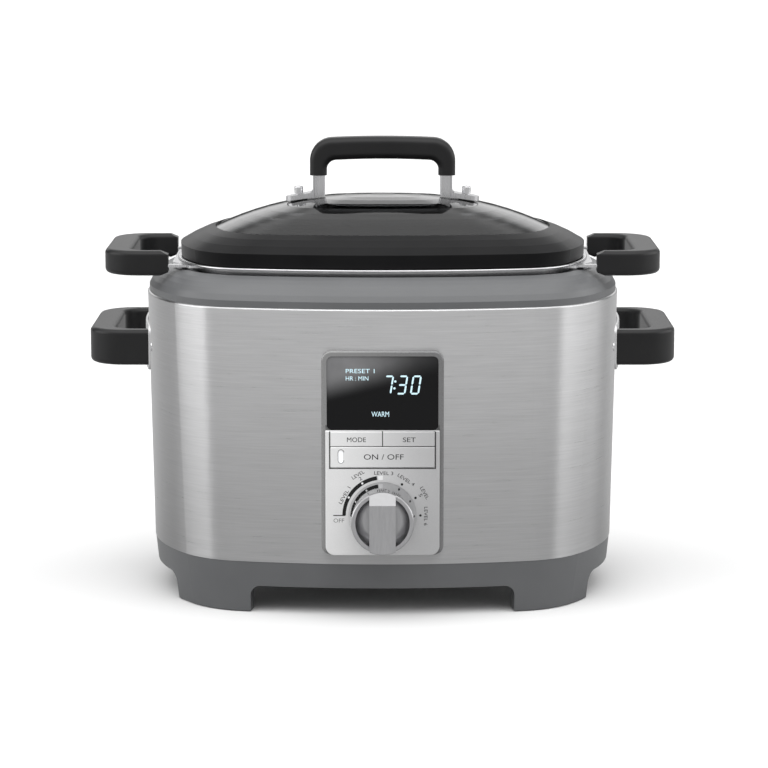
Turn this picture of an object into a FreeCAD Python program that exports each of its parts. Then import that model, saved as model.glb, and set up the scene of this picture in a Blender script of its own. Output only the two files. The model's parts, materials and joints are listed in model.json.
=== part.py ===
import FreeCAD, Part
import math
import os

V = FreeCAD.Vector

# Slow cooker, millimetres. +Z up, front at -Y, +X to the right of a person facing the front.
# Every piece is modelled about the centre of the body; SHIFT_Y then centres the whole object.

# ---- driving dimensions: body ----
SHELL_TOP_Z = 235.1
SHELL_BOTTOM_Z = 40.0
SHELL_WALL = 0.8
SHELL_FLANGE = 4.0
BASE_BOTTOM_Z = 0.8
BASE_FLOOR_Z = 21.0
BASE_WALL = 3.0
COLLAR_EDGE_Z = 240.2
COLLAR_TOP_Z = 256.8
COLLAR_SLOPE_WIDTH = 17.4
COLLAR_BULGE = 2.4
COLLAR_WALL = 2.5
COLLAR_INSET = 1.4
RUN_GAP = 0.3
HOLE_GAP = 0.05

# ---- well, heater and sensor ----
WELL_TOP_Z = 250.0
WELL_FLOOR_Z = 84.0
WELL_SHEET = 0.8
HEATER_THICK = 10.9
SENSOR_TRAVEL = 3.0
SENSOR_RADIUS = 7.0
SENSOR_STEM = 3.0

# ---- vessel and lid ----
VESSEL_RIM_Z = 261.9
VESSEL_RIM_THICK = 1.8
VESSEL_FLANGE = 6.4
VESSEL_BOTTOM_Z = 96.0
VESSEL_WALL = 1.5
VESSEL_DRAFT = 6.0
LID_BOTTOM_Z = 262.2
LID_WALL_TOP_Z = 272.6
LID_GLASS_EDGE_Z = 285.0
LID_GLASS_APEX_Z = 308.6
LID_GLASS_THICK = 4.0
LID_DOME_POWER = 2.5
LID_BULGE = 1.2
GRIP_TOP_Z = 354.4
GRIP_HALF_WIDTH = 57.0
GRIP_HALF_DEPTH = 9.5
GRIP_LEG = 13.3
GRIP_BAR = 17.5
GRIP_CORNER = 18.0
GRIP_ROUNDING = 5.6

# ---- handles ----
BASE_HANDLE_OUT = 227.4
BASE_HANDLE_HALF = 66.5
BASE_HANDLE_ARM = 12.5
BASE_HANDLE_Z = (182.7, 210.2)
VESSEL_HANDLE_OUT = 215.5
VESSEL_HANDLE_HALF = 63.5
VESSEL_HANDLE_Z = (251.7, 271.0)
HANDLE_CORNER = 28.0
HANDLE_GAP_CORNER = 14.0

# ---- control panel, Y measured from the body centre ----
FRAME_FRONT_Y = -134.4
FASCIA_FRONT_Y = -136.2
BUTTON_FRONT_Y = -136.6
PANEL_SEAT_Y = -132.0
PANEL_HALF = 46.1
PANEL_Z = (47.9, 204.4)
FASCIA_HALF = 43.0
FASCIA_Z = (48.3, 144.1)
DISPLAY_TOP_Z = 200.4
BUTTON_Z = (116.0, 131.9, 143.5)
BUTTON_HALF = 39.2
BUTTON_SEAM = 0.6
BUTTON_TRAVEL = 0.6
DIAL_Z = 79.2
KNOB_BASE_RADIUS = 25.7
KNOB_RADIUS = 23.5
KNOB_FACE_RADIUS = 23.05
KNOB_RIM_DEPTH = 29.0
KNOB_FACE_DEPTH = 35.0
KNOB_BAR_WIDTH = 19.6
BOARD_Y = -121.0
BOARD_THICK = 1.6

# ---- power inlet, at the back ----
INLET_Z = 64.0
INLET_BODY = (27.0, 19.8)
INLET_DEPTH = 22.0
INLET_SCREW_SPACING = 40.0
INLET_SCREW_RADIUS = 1.5

# Half the difference between how far the knob and the power inlet reach, front and back.
SHIFT_Y = 18.7


class Oval:
    """A rounded rectangle of eight tangent arcs: two long faces, two ends and four corners."""

    def __init__(self, a, b, face_radius, end_radius, corner_radius):
        self.a = a
        self.b = b
        self.face = face_radius
        self.end = end_radius
        self.corner = corner_radius

    def grow(self, d):
        return Oval(self.a + d, self.b + d, self.face + d, self.end + d, self.corner + d)

    def scaled(self, s):
        return Oval(self.a * s, self.b * s, self.face * s, self.end * s, self.corner * s)

    def corner_centre(self):
        """Where the corner arc's centre lies, in the quarter where x and y are positive."""
        face_y = self.b - self.face
        end_x = self.a - self.end
        r0 = self.face - self.corner
        r1 = self.end - self.corner
        apart = math.hypot(end_x, face_y)
        along = (r0 * r0 - r1 * r1 + apart * apart) / (2 * apart)
        across = math.sqrt(r0 * r0 - along * along)
        ux = end_x / apart
        uy = -face_y / apart
        return ux * along + uy * across, face_y + uy * along - ux * across

    def wire(self, z):
        cx, cy = self.corner_centre()
        face_y = self.b - self.face
        end_x = self.a - self.end
        k = self.face / math.hypot(cx, cy - face_y)
        on_face = (cx * k, face_y + (cy - face_y) * k)
        k = self.end / math.hypot(cx - end_x, cy)
        on_end = (end_x + (cx - end_x) * k, cy * k)
        bisector = (on_face[0] + on_end[0] - 2 * cx, on_face[1] + on_end[1] - 2 * cy)
        k = self.corner / math.hypot(*bisector)
        on_corner = (cx + bisector[0] * k, cy + bisector[1] * k)

        def at(point, sx, sy):
            return V(point[0] * sx, point[1] * sy, z)

        arcs = [
            (at(on_end, 1, -1), V(self.a, 0, z), at(on_end, 1, 1)),
            (at(on_end, 1, 1), at(on_corner, 1, 1), at(on_face, 1, 1)),
            (at(on_face, 1, 1), V(0, self.b, z), at(on_face, -1, 1)),
            (at(on_face, -1, 1), at(on_corner, -1, 1), at(on_end, -1, 1)),
            (at(on_end, -1, 1), V(-self.a, 0, z), at(on_end, -1, -1)),
            (at(on_end, -1, -1), at(on_corner, -1, -1), at(on_face, -1, -1)),
            (at(on_face, -1, -1), V(0, -self.b, z), at(on_face, 1, -1)),
            (at(on_face, 1, -1), at(on_corner, 1, -1), at(on_end, 1, -1)),
        ]
        return Part.Wire([Part.Arc(*three).toShape() for three in arcs])


# ---- plan outlines of the body, the vessel and the lid ----
SHELL_TOP = Oval(185.0, 131.0, 513.0, 160.0, 69.6)
SHELL_BOTTOM = Oval(181.2, 130.2, 513.0, 156.0, 67.0)
BASE_BOTTOM = Oval(176.9, 127.6, 507.0, 152.0, 63.0)
VESSEL_RIM = Oval(160.9, 108.0, 503.0, 146.0, 52.0)
LID_WALL_TOP = Oval(158.6, 103.8, 560.0, 155.0, 50.0)
LID_WALL_BOTTOM = Oval(158.2, 102.8, 560.0, 152.0, 47.0)
GLASS_EDGE = Oval(131.5, 79.5, 600.0, 120.0, 50.0)


def prism(oval, z0, z1):
    return Part.Face(oval.wire(z0)).extrude(V(0, 0, z1 - z0))


def tower(levels):
    """A solid through a stack of ovals, straight from each to the next."""
    return Part.makeLoft([oval.wire(z) for oval, z in levels], True, True)


def block(x, y, z):
    return Part.makeBox(x[1] - x[0], y[1] - y[0], z[1] - z[0], V(x[0], y[0], z[0]))


def rod(radius, start, axis, length):
    return Part.makeCylinder(radius, length, V(*start), V(*axis))


def outline(corners, place):
    """A closed wire of straight runs with rounded corners. corners holds (u, v, radius)."""
    runs = []
    count = len(corners)
    for i in range(count):
        u, v, r = corners[i]
        before = corners[i - 1]
        after = corners[(i + 1) % count]
        to_a = V(before[0] - u, before[1] - v, 0).normalize()
        to_b = V(after[0] - u, after[1] - v, 0).normalize()
        half = to_a.getAngle(to_b) / 2
        if r <= 0:
            runs.append([V(u, v, 0)])
            continue
        back = r / math.tan(half)
        middle = (to_a + to_b).normalize()
        centre = V(u, v, 0) + middle * (r / math.sin(half))
        runs.append([V(u, v, 0) + to_a * back, centre - middle * r, V(u, v, 0) + to_b * back])
    edges = []
    for i in range(count):
        points = [place(p.x, p.y) for p in runs[i]]
        if len(points) == 3:
            edges.append(Part.Arc(*points).toShape())
        following = place(runs[(i + 1) % count][0].x, runs[(i + 1) % count][0].y)
        if points[-1].distanceToPoint(following) > 1e-6:
            edges.append(Part.LineSegment(points[-1], following).toShape())
    return Part.Wire(edges)


def slab_z(corners, z0, z1):
    """A plate that lies flat, from z0 up to z1."""
    return Part.Face(outline(corners, lambda u, v: V(u, v, z0))).extrude(V(0, 0, z1 - z0))


def slab_y(corners, y0, y1):
    """A plate that stands facing the front, from y0 back to y1."""
    return Part.Face(outline(corners, lambda u, v: V(u, y0, v))).extrude(V(0, y1 - y0, 0))


def slab_x(corners, x0, x1):
    """A plate that stands facing the side, from x0 to x1."""
    return Part.Face(outline(corners, lambda u, v: V(x0, u, v))).extrude(V(x1 - x0, 0, 0))


def rectangle(u, v, radius):
    return [(u[0], v[0], radius), (u[1], v[0], radius), (u[1], v[1], radius), (u[0], v[1], radius)]


def hexagon(u, v, radius):
    turns = [math.radians(60 * i) for i in range(6)]
    return [(u + radius * math.cos(turn), v + radius * math.sin(turn), 0) for turn in turns]


def mirror_x(shape):
    return shape.mirror(V(0, 0, 0), V(1, 0, 0))


def four(shape_at, x, y):
    """The same piece at four places, as a group of separate solids."""
    return Part.makeCompound([shape_at(sx * x, sy * y) for sx in (-1, 1) for sy in (-1, 1)])


def edges_at(shape, test):
    return [e for e in shape.Edges if test(e.BoundBox)]


def soften(shape, radius, test):
    """Rounds the edges whose box passes the test."""
    return shape.makeFillet(radius, edges_at(shape, test))


def flat_at(z):
    return lambda box: abs(box.ZMin - z) < 1e-3 and abs(box.ZMax - z) < 1e-3


def facing_at(y):
    return lambda box: abs(box.YMin - y) < 1e-3 and abs(box.YMax - y) < 1e-3


def either(first, second):
    return lambda box: first(box) or second(box)


def shell_outer():
    return tower([(SHELL_BOTTOM, SHELL_BOTTOM_Z), (SHELL_TOP, SHELL_TOP_Z)])


def shell_inner(top_z):
    return tower([(SHELL_BOTTOM.grow(-SHELL_WALL), SHELL_BOTTOM_Z), (SHELL_TOP.grow(-SHELL_WALL), top_z)])


# ---- base ----
FOOT_X = 127.0
FOOT_Y = 93.0
PAD_RADIUS = 8.5
PAD_TOP_Z = 3.0
BOTTOM_OPENING = Oval(118.0, 60.0, 400.0, 70.0, 40.0)
SCREW_RADIUS = 1.5
PLATE_SCREWS = [(0, 66.5), (70, 64.0), (122.5, 24.0)]


def around(places):
    """Each place mirrored into all four quarters, once each."""
    found = []
    for x, y in places:
        for sx in (-1, 1):
            for sy in (-1, 1):
                if (x * sx, y * sy) not in found:
                    found.append((x * sx, y * sy))
    return found


def underside_void():
    """The space between the four feet: a cross with soft corners and a rounded ceiling."""
    quarter = [(113, -200, 20), (98, -99, 9), (128, -78, 9), (220, -62, 20)]
    corners = [(x, y, r) for x, y, r in quarter]
    corners += [(x, -y, r) for x, y, r in reversed(quarter)]
    corners += [(-x, -y, r) for x, y, r in quarter]
    corners += [(-x, y, r) for x, y, r in reversed(quarter)]
    void = slab_z(corners, -5.0, BASE_FLOOR_Z)
    return soften(void, 8.0, flat_at(BASE_FLOOR_Z))


def base_moulding():
    top = SHELL_BOTTOM.grow(-0.3)
    shape = tower([(BASE_BOTTOM, BASE_BOTTOM_Z), (top, SHELL_BOTTOM_Z)])
    floor_top = BASE_FLOOR_Z + BASE_WALL
    shape = shape.cut(prism(SHELL_BOTTOM.grow(-0.3 - BASE_WALL), floor_top, SHELL_BOTTOM_Z + 1))
    tongue = prism(SHELL_BOTTOM.grow(-1.3), SHELL_BOTTOM_Z - 2, SHELL_BOTTOM_Z + 6)
    tongue = tongue.cut(prism(SHELL_BOTTOM.grow(-0.3 - BASE_WALL), 0, 60))
    shape = shape.fuse(tongue)
    shape = shape.cut(underside_void())
    shape = shape.cut(prism(BOTTOM_OPENING, 0, floor_top + 1))
    for x, y in around(PLATE_SCREWS):
        shape = shape.fuse(rod(4.0, (x, y, BASE_FLOOR_Z), (0, 0, 1), 9.0))
    for x, y in around(PLATE_SCREWS):
        shape = shape.cut(rod(SCREW_RADIUS + HOLE_GAP, (x, y, 0), (0, 0, 1), 40.0))
    for z, depth in ((-1.0, 1.0 + PAD_TOP_Z), (6.0, 40.0)):
        shape = shape.cut(four(lambda x, y: rod(PAD_RADIUS, (x, y, z), (0, 0, 1), depth), FOOT_X, FOOT_Y))
    return shape.removeSplitter()


def foot_pads():
    def pad(x, y):
        disc = rod(PAD_RADIUS, (x, y, 0), (0, 0, 1), PAD_TOP_Z)
        return soften(disc, 0.5, flat_at(0))

    return four(pad, FOOT_X, FOOT_Y)


def bottom_plate():
    plate = prism(Oval(129.0, 71.0, 410.0, 80.0, 48.0), BASE_FLOOR_Z - 1, BASE_FLOOR_Z)
    for x, y in around(PLATE_SCREWS):
        plate = plate.cut(rod(SCREW_RADIUS + HOLE_GAP, (x, y, 0), (0, 0, 1), 40.0))
    for row in (-1, 1):
        for i in range(9):
            x = (i - 4) * 11.0
            slot = slab_z(rectangle((x - 1.6, x + 1.6), (22, 46), 1.5), 0, 40)
            plate = plate.cut(slot if row > 0 else slot.mirror(V(0, 0, 0), V(0, 1, 0)))
    return plate


def screw(x, y, z, shank, head_radius, head_height, radius=SCREW_RADIUS):
    """A pan-head screw that points up, its head's top face at z."""
    head = rod(head_radius, (x, y, z - head_height), (0, 0, 1), head_height)
    head = soften(head, head_height * 0.4, flat_at(z - head_height))
    recess = rod(head_radius * 0.4, (x, y, z - head_height), (0, 0, 1), head_height * 0.5)
    return head.cut(recess).fuse(rod(radius, (x, y, z), (0, 0, 1), shank))


def bottom_screws():
    under = BASE_FLOOR_Z - 1
    return Part.makeCompound([screw(x, y, under, 9.0, 3.2, 2.0) for x, y in around(PLATE_SCREWS)])


# ---- shell and collar ----
def panel_opening():
    return slab_y(rectangle((-40.0, 40.0), (54.0, 198.0), 5.0), -160, -100)


def inlet_opening():
    half = INLET_BODY[0] / 2
    rise = INLET_BODY[1] / 2
    return slab_y(rectangle((-half, half), (INLET_Z - rise, INLET_Z + rise), 1.0), 100, 160)


def inlet_screw_holes():
    half = INLET_SCREW_SPACING / 2
    radius = INLET_SCREW_RADIUS + HOLE_GAP
    return Part.makeCompound([rod(radius, (x, 100, INLET_Z), (0, 1, 0), 60) for x in (-half, half)])


HANDLE_MIDDLE_Z = sum(BASE_HANDLE_Z) / 2
STUD_Y = 22.0
STUD_RADIUS = 2.5


def stud_holes():
    """Holes through both ends of the shell for the studs of the handle plates."""
    radius = STUD_RADIUS + HOLE_GAP
    holes = [rod(radius, (-200, y, HANDLE_MIDDLE_Z), (1, 0, 0), 400) for y in (-STUD_Y, STUD_Y)]
    return Part.makeCompound(holes)


def outer_shell():
    shape = soften(shell_outer(), 1.3, flat_at(SHELL_TOP_Z))
    shape = shape.cut(shell_inner(SHELL_TOP_Z - SHELL_WALL))
    shape = shape.cut(prism(SHELL_TOP.grow(-SHELL_FLANGE), SHELL_TOP_Z - 5, SHELL_TOP_Z + 5))
    for hole in (panel_opening(), inlet_opening(), inlet_screw_holes(), stud_holes()):
        shape = shape.cut(hole)
    return shape


def collar_levels(inset, top_z, bottom_z):
    """The collar's outer slope: a shallow arc from its vertical band up to the lip."""
    rise = top_z - COLLAR_EDGE_Z
    length = math.hypot(COLLAR_SLOPE_WIDTH, rise)
    levels = [(SHELL_TOP.grow(-COLLAR_INSET - inset), bottom_z)]
    steps = 5
    for i in range(steps + 1):
        t = i / steps
        bulge = 4 * COLLAR_BULGE * t * (1 - t)
        inward = COLLAR_SLOPE_WIDTH * t - bulge * rise / length
        up = rise * t + bulge * COLLAR_SLOPE_WIDTH / length
        levels.append((SHELL_TOP.grow(-COLLAR_INSET - inset - inward), COLLAR_EDGE_Z + up))
    return levels


COLLAR_MOUTH = VESSEL_RIM.grow(2.6)


def top_collar():
    shape = tower(collar_levels(0.0, COLLAR_TOP_Z, SHELL_TOP_Z))
    shape = shape.cut(prism(COLLAR_MOUTH, 200, 300))
    inner = collar_levels(COLLAR_WALL, COLLAR_TOP_Z, SHELL_TOP_Z - 1)
    hollow = tower([(oval, z - 2.2) for oval, z in inner])
    hollow = hollow.cut(prism(COLLAR_MOUTH.grow(COLLAR_WALL), 200, 300))
    shape = shape.cut(hollow)
    above_well = prism(COLLAR_MOUTH.grow(COLLAR_WALL + 0.01), 200, WELL_TOP_Z + WELL_SHEET)
    shape = shape.cut(above_well)
    tongue = prism(SHELL_TOP.grow(-SHELL_FLANGE - 0.4), SHELL_TOP_Z - 6, SHELL_TOP_Z)
    tongue = tongue.cut(prism(SHELL_TOP.grow(-SHELL_FLANGE - 2.6), 200, 300))
    ledge = prism(SHELL_TOP.grow(-COLLAR_INSET - 0.5), SHELL_TOP_Z, SHELL_TOP_Z + 2)
    ledge = ledge.cut(prism(SHELL_TOP.grow(-SHELL_FLANGE - 2.6), 200, 300))
    shape = shape.fuse(ledge).fuse(tongue)
    dip = rod(622.0, (-250, 0, COLLAR_TOP_Z - 3.5 + 622.0), (1, 0, 0), 500)
    sides = block((-250, -120), (-200, 200), (200, 300)).fuse(block((120, 250), (-200, 200), (200, 300)))
    return shape.cut(dip.common(sides)).removeSplitter()


# ---- well, heater, sensor ----
WELL_INNER = VESSEL_RIM.grow(-2.4)
WELL_DRAFT = 4.0
HEATER_OUTLINE = Oval(125.0, 76.0, 420.0, 95.0, 50.0)
HEATER_TOP_Z = WELL_FLOOR_Z + WELL_SHEET + HEATER_THICK


def well_form(extra, floor_z):
    levels = [(WELL_INNER.grow(-WELL_DRAFT + extra), floor_z), (WELL_INNER.grow(extra), WELL_TOP_Z + 5)]
    return soften(tower(levels), 10.0 + extra, flat_at(floor_z))


def heating_well():
    shape = well_form(WELL_SHEET, WELL_FLOOR_Z)
    shape = shape.common(block((-300, 300), (-300, 300), (0, WELL_TOP_Z + WELL_SHEET)))
    flange = prism(VESSEL_RIM.grow(8.0), WELL_TOP_Z, WELL_TOP_Z + WELL_SHEET)
    shape = shape.fuse(flange)
    shape = shape.cut(well_form(0.0, WELL_FLOOR_Z + WELL_SHEET))
    shape = shape.cut(prism(HEATER_OUTLINE.grow(-14.0), 60, 120))
    return shape.removeSplitter()


def band_heater():
    band = tower([(WELL_INNER.grow(-WELL_DRAFT + 3.6), 104), (WELL_INNER.grow(-WELL_DRAFT + 4.8), 152)])
    return band.cut(well_form(WELL_SHEET, WELL_FLOOR_Z))


def insulation_blanket():
    wrap = prism(WELL_INNER.grow(8.5), 96, 232)
    return wrap.cut(prism(WELL_INNER.grow(1.6), 60, 240))


def heater_plate():
    plate = prism(HEATER_OUTLINE, WELL_FLOOR_Z + WELL_SHEET, HEATER_TOP_Z)
    plate = soften(plate, 1.5, flat_at(HEATER_TOP_Z))
    return plate.cut(rod(SENSOR_RADIUS + RUN_GAP, (0, 0, 60), (0, 0, 1), 60))


ELEMENT_RADIUS = 3.2
ELEMENT_LOOP = Oval(92.0, 48.0, 330.0, 62.0, 36.0)
TERMINAL_X = 91.0
TERMINAL_Y = 8.0
TERMINAL_FOOT_Z = WELL_FLOOR_Z + WELL_SHEET - ELEMENT_RADIUS - 16.0


def heating_element():
    z = WELL_FLOOR_Z + WELL_SHEET - ELEMENT_RADIUS
    ring = Part.makeCircle(ELEMENT_RADIUS, V(ELEMENT_LOOP.a, 0, z), V(0, 1, 0))
    tube = ELEMENT_LOOP.wire(z).makePipeShell([Part.Wire(ring)], True, True)
    for sy in (-1, 1):
        tube = tube.fuse(rod(2.0, (TERMINAL_X, sy * TERMINAL_Y, TERMINAL_FOOT_Z), (0, 0, 1), 15))
    return tube


SUPPORT_X = 121.0
SUPPORT_Y = 64.0


def well_supports():
    base = BASE_FLOOR_Z + BASE_WALL
    return four(lambda x, y: rod(4.5, (x, y, base), (0, 0, 1), WELL_FLOOR_Z - base), SUPPORT_X, SUPPORT_Y)


SENSOR_CAP = 5.0
SENSOR_BRACKET_Z = 66.0
SPRING_WIRE = 0.7
SPRING_RADIUS = 4.6


def temperature_sensor():
    top = HEATER_TOP_Z
    cap = soften(rod(SENSOR_RADIUS, (0, 0, top - SENSOR_CAP), (0, 0, 1), SENSOR_CAP), 0.8, flat_at(top))
    stem_foot = SENSOR_BRACKET_Z - 8.0
    return cap.fuse(rod(SENSOR_STEM, (0, 0, stem_foot), (0, 0, 1), top - SENSOR_CAP - stem_foot))


def sensor_bracket():
    under = WELL_FLOOR_Z + WELL_SHEET
    low = SENSOR_BRACKET_Z - 1.2
    wide = (-9, 9)
    bracket = block((-34.6, 34.6), wide, (low, SENSOR_BRACKET_Z))
    leg = block((-34.6, -33.4), wide, (low, under))
    foot = block((-44, -33.4), wide, (under - 1.2, under))
    bracket = bracket.multiFuse([leg, foot, mirror_x(leg), mirror_x(foot)])
    return bracket.cut(rod(SENSOR_STEM + 0.1, (0, 0, 0), (0, 0, 1), 100)).removeSplitter()


def sensor_spring():
    """A coil spring on the sensor's stem, between the bracket and the cap."""
    low = SENSOR_BRACKET_Z + SPRING_WIRE + 0.1
    high = HEATER_TOP_Z - SENSOR_CAP - SPRING_WIRE - 0.1
    turns = 6
    coil = Part.makeHelix((high - low) / turns, high - low, SPRING_RADIUS)
    section = Part.Wire(Part.makeCircle(SPRING_WIRE, V(SPRING_RADIUS, 0, 0), V(0, 1, 0)))
    shape = Part.Wire(coil.Edges).makePipeShell([section], True, True)
    shape.translate(V(0, 0, low))
    return shape


def thermal_fuse():
    body = rod(2.2, (40, 24, WELL_FLOOR_Z + WELL_SHEET - 2.2), (1, 0, 0), 12)
    leads = rod(0.5, (34, 24, WELL_FLOOR_Z + WELL_SHEET - 2.2), (1, 0, 0), 24)
    return body.fuse(leads)


# ---- power electronics ----
POWER_BOARD_X = (-75.0, 45.0)
POWER_BOARD_Y = (-42.0, 38.0)
POWER_BOARD_Z = 32.0
POWER_BOARD_TOP = POWER_BOARD_Z + BOARD_THICK


def power_board():
    return block(POWER_BOARD_X, POWER_BOARD_Y, (POWER_BOARD_Z, POWER_BOARD_TOP))


def board_standoffs():
    low = BASE_FLOOR_Z
    posts = []
    for x in (POWER_BOARD_X[0] + 5, POWER_BOARD_X[1] - 5):
        for y in (POWER_BOARD_Y[0] + 5, POWER_BOARD_Y[1] - 5):
            posts.append(rod(3.0, (x, y, low), (0, 0, 1), POWER_BOARD_Z - low))
    return Part.makeCompound(posts)


def transformer():
    z = POWER_BOARD_TOP
    core = block((-66, -32), (-22, 6), (z, z + 24))
    winding = block((-60, -38), (-27, 11), (z, z + 19))
    return core.fuse(winding)


def relays():
    z = POWER_BOARD_TOP
    return Part.makeCompound([block((x, x + 19), (-30, -15), (z, z + 15.5)) for x in (-20, 6)])


def capacitors():
    z = POWER_BOARD_TOP
    return Part.makeCompound([rod(5.0, (x, 22, z), (0, 0, 1), 16) for x in (-18, -2, 14)])


# ---- control panel ----
def bezel_frame():
    y_back = -126.5
    plate = slab_y(rectangle((-PANEL_HALF, PANEL_HALF), PANEL_Z, 8.0), FRAME_FRONT_Y, y_back)
    plate = soften(plate, 1.6, facing_at(FRAME_FRONT_Y))
    plate = plate.cut(shell_outer())
    spigot = slab_y(rectangle((-39.7, 39.7), (54.3, 197.7), 4.7), PANEL_SEAT_Y, -124.0)
    frame = plate.fuse(spigot)
    window = rectangle((-42.0, 42.0), (FASCIA_Z[1], DISPLAY_TOP_Z), 4.0)
    frame = frame.cut(slab_y(window, FRAME_FRONT_Y - 1, PANEL_SEAT_Y))
    low = rectangle((-FASCIA_HALF, FASCIA_HALF), (FASCIA_Z[0] - 20, FASCIA_Z[1] + 4), 0)
    frame = frame.cut(slab_y(low, FRAME_FRONT_Y - 1, PANEL_SEAT_Y))
    inside = slab_y(rectangle((-36.0, 36.0), (58.0, 194.0), 3.0), -150, -100)
    return frame.cut(inside).removeSplitter()


def display_lens():
    edge = rectangle((-41.9, 41.9), (FASCIA_Z[1] + 0.1, DISPLAY_TOP_Z - 0.1), 3.9)
    return slab_y(edge, PANEL_SEAT_Y - 1.7, PANEL_SEAT_Y)


def display_module():
    glass = block((-34, 34), (PANEL_SEAT_Y, PANEL_SEAT_Y + 4), (149, 191))
    return glass.fuse(block((-30, 30), (PANEL_SEAT_Y + 4, BOARD_Y - BOARD_THICK), (153, 187)))


def button_window():
    low, high = BUTTON_Z[0] - 0.3, BUTTON_Z[2] + 0.3
    return rectangle((-BUTTON_HALF - 0.3, BUTTON_HALF + 0.3), (low, high), 0)


def control_fascia():
    corners = [
        (-FASCIA_HALF, FASCIA_Z[0], 7.0),
        (FASCIA_HALF, FASCIA_Z[0], 7.0),
        (FASCIA_HALF, FASCIA_Z[1], 0.6),
        (-FASCIA_HALF, FASCIA_Z[1], 0.6),
    ]
    plate = slab_y(corners, FASCIA_FRONT_Y, PANEL_SEAT_Y)
    plate = plate.makeChamfer(0.5, edges_at(plate, facing_at(FASCIA_FRONT_Y)))
    plate = plate.cut(slab_y(button_window(), -150, -100))
    return plate.cut(rod(4.2, (0, -150, DIAL_Z), (0, 1, 0), 60))


SWITCH_FACE_Y = BOARD_Y - BOARD_THICK - 4.3


def button(u, v):
    """A push button: its cap in the fascia's window and the stem that presses its switch."""
    cap = slab_y(rectangle(u, v, 0.5), BUTTON_FRONT_Y, PANEL_SEAT_Y - 1.0)
    cap = cap.makeChamfer(0.4, edges_at(cap, facing_at(BUTTON_FRONT_Y)))
    x = max(-30.0, min(30.0, sum(u) / 2))
    z = sum(v) / 2
    reach = SWITCH_FACE_Y - BUTTON_TRAVEL - RUN_GAP - (PANEL_SEAT_Y - 1.0)
    return cap.fuse(rod(1.8, (x, PANEL_SEAT_Y - 1.0, z), (0, 1, 0), reach))


SEAM = BUTTON_SEAM / 2
BACK_SPAN = ((-BUTTON_HALF, -SEAM), (BUTTON_Z[1] + SEAM, BUTTON_Z[2]))
TIMER_SPAN = ((SEAM, BUTTON_HALF), (BUTTON_Z[1] + SEAM, BUTTON_Z[2]))
START_SPAN = ((-BUTTON_HALF, BUTTON_HALF), (BUTTON_Z[0], BUTTON_Z[1] - SEAM))
LIGHT_X = -31.5
LIGHT_HALF = (1.6, 4.6)


def light_slot(y0, y1):
    z = sum(START_SPAN[1]) / 2
    span_x = (LIGHT_X - LIGHT_HALF[0], LIGHT_X + LIGHT_HALF[0])
    return slab_y(rectangle(span_x, (z - LIGHT_HALF[1], z + LIGHT_HALF[1]), 1.5), y0, y1)


def start_button():
    return button(*START_SPAN).cut(light_slot(-150, -100))


def start_light_pipe():
    return light_slot(BUTTON_FRONT_Y + 0.1, PANEL_SEAT_Y - 1.0)


def tact_switches():
    made = []
    for span in (BACK_SPAN, TIMER_SPAN, START_SPAN):
        x = max(-30.0, min(30.0, sum(span[0]) / 2))
        z = sum(span[1]) / 2
        front = BOARD_Y - BOARD_THICK
        case = block((x - 3, x + 3), (front - 2.8, front), (z - 3, z + 3))
        made.append(case.fuse(rod(1.7, (x, front - 2.8, z), (0, -1, 0), 0.6)))
    return Part.makeCompound(made)


def control_board():
    return block((-35.5, 35.5), (BOARD_Y - BOARD_THICK, BOARD_Y), (58.5, 193.5))


def ribbon_cable():
    """A flat cable from the control board, down and back to the power board."""
    thick = 1.0
    y0 = BOARD_Y
    z0 = POWER_BOARD_TOP
    turn = 8.0
    z_run = z0 + 12.0
    side = [
        (y0, 72, 0),
        (y0 + 3 + thick, 72, 0),
        (y0 + 3 + thick, z_run + thick, turn - thick),
        (POWER_BOARD_Y[0] + 6, z_run + thick, turn - thick),
        (POWER_BOARD_Y[0] + 6, z0, 0),
        (POWER_BOARD_Y[0] + 5, z0, 0),
        (POWER_BOARD_Y[0] + 5, z_run, turn),
        (y0 + 3, z_run, turn),
        (y0 + 3, 71, 0),
        (y0, 71, 0),
    ]
    face = Part.Face(outline(side, lambda u, v: V(18, u, v)))
    return face.extrude(V(16, 0, 0))


def encoder_body():
    front = BOARD_Y - BOARD_THICK
    case = block((-6, 6), (front - 6.5, front), (DIAL_Z - 6.5, DIAL_Z + 6.5))
    bush = rod(3.5, (0, front - 6.5, DIAL_Z), (0, -1, 0), 5.0)
    return case.fuse(bush).cut(rod(3.0 + HOLE_GAP, (0, front - 4.0, DIAL_Z), (0, -1, 0), 60))


KNOB_BACK_Y = FASCIA_FRONT_Y - 0.4


def encoder_shaft():
    front = BOARD_Y - BOARD_THICK
    start = front - 4.3
    length = start - (KNOB_BACK_Y - 14.0)
    shaft = rod(3.0, (0, start, DIAL_Z), (0, -1, 0), length)
    flat = block((-3, 3), (KNOB_BACK_Y - 14.0, KNOB_BACK_Y), (DIAL_Z - 3, DIAL_Z - 1.5))
    return shaft.cut(flat)


def knob_core():
    core = rod(8.0, (0, KNOB_BACK_Y, DIAL_Z), (0, -1, 0), 16.0)
    bore = rod(3.0 + HOLE_GAP, (0, KNOB_BACK_Y + 1, DIAL_Z), (0, -1, 0), 15.0 + HOLE_GAP)
    return core.cut(bore)


def pointer_bevel(face_y):
    """What the long bevel on the pointer end of the knob's bar takes away."""
    top = DIAL_Z + KNOB_RADIUS
    side = [(face_y - 1, top + 1, 0), (face_y - 1, top - 10.6, 0), (face_y + 6.0, top + 1, 0)]
    return Part.Face(outline(side, lambda u, v: V(-30, u, v))).extrude(V(60, 0, 0))


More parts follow.
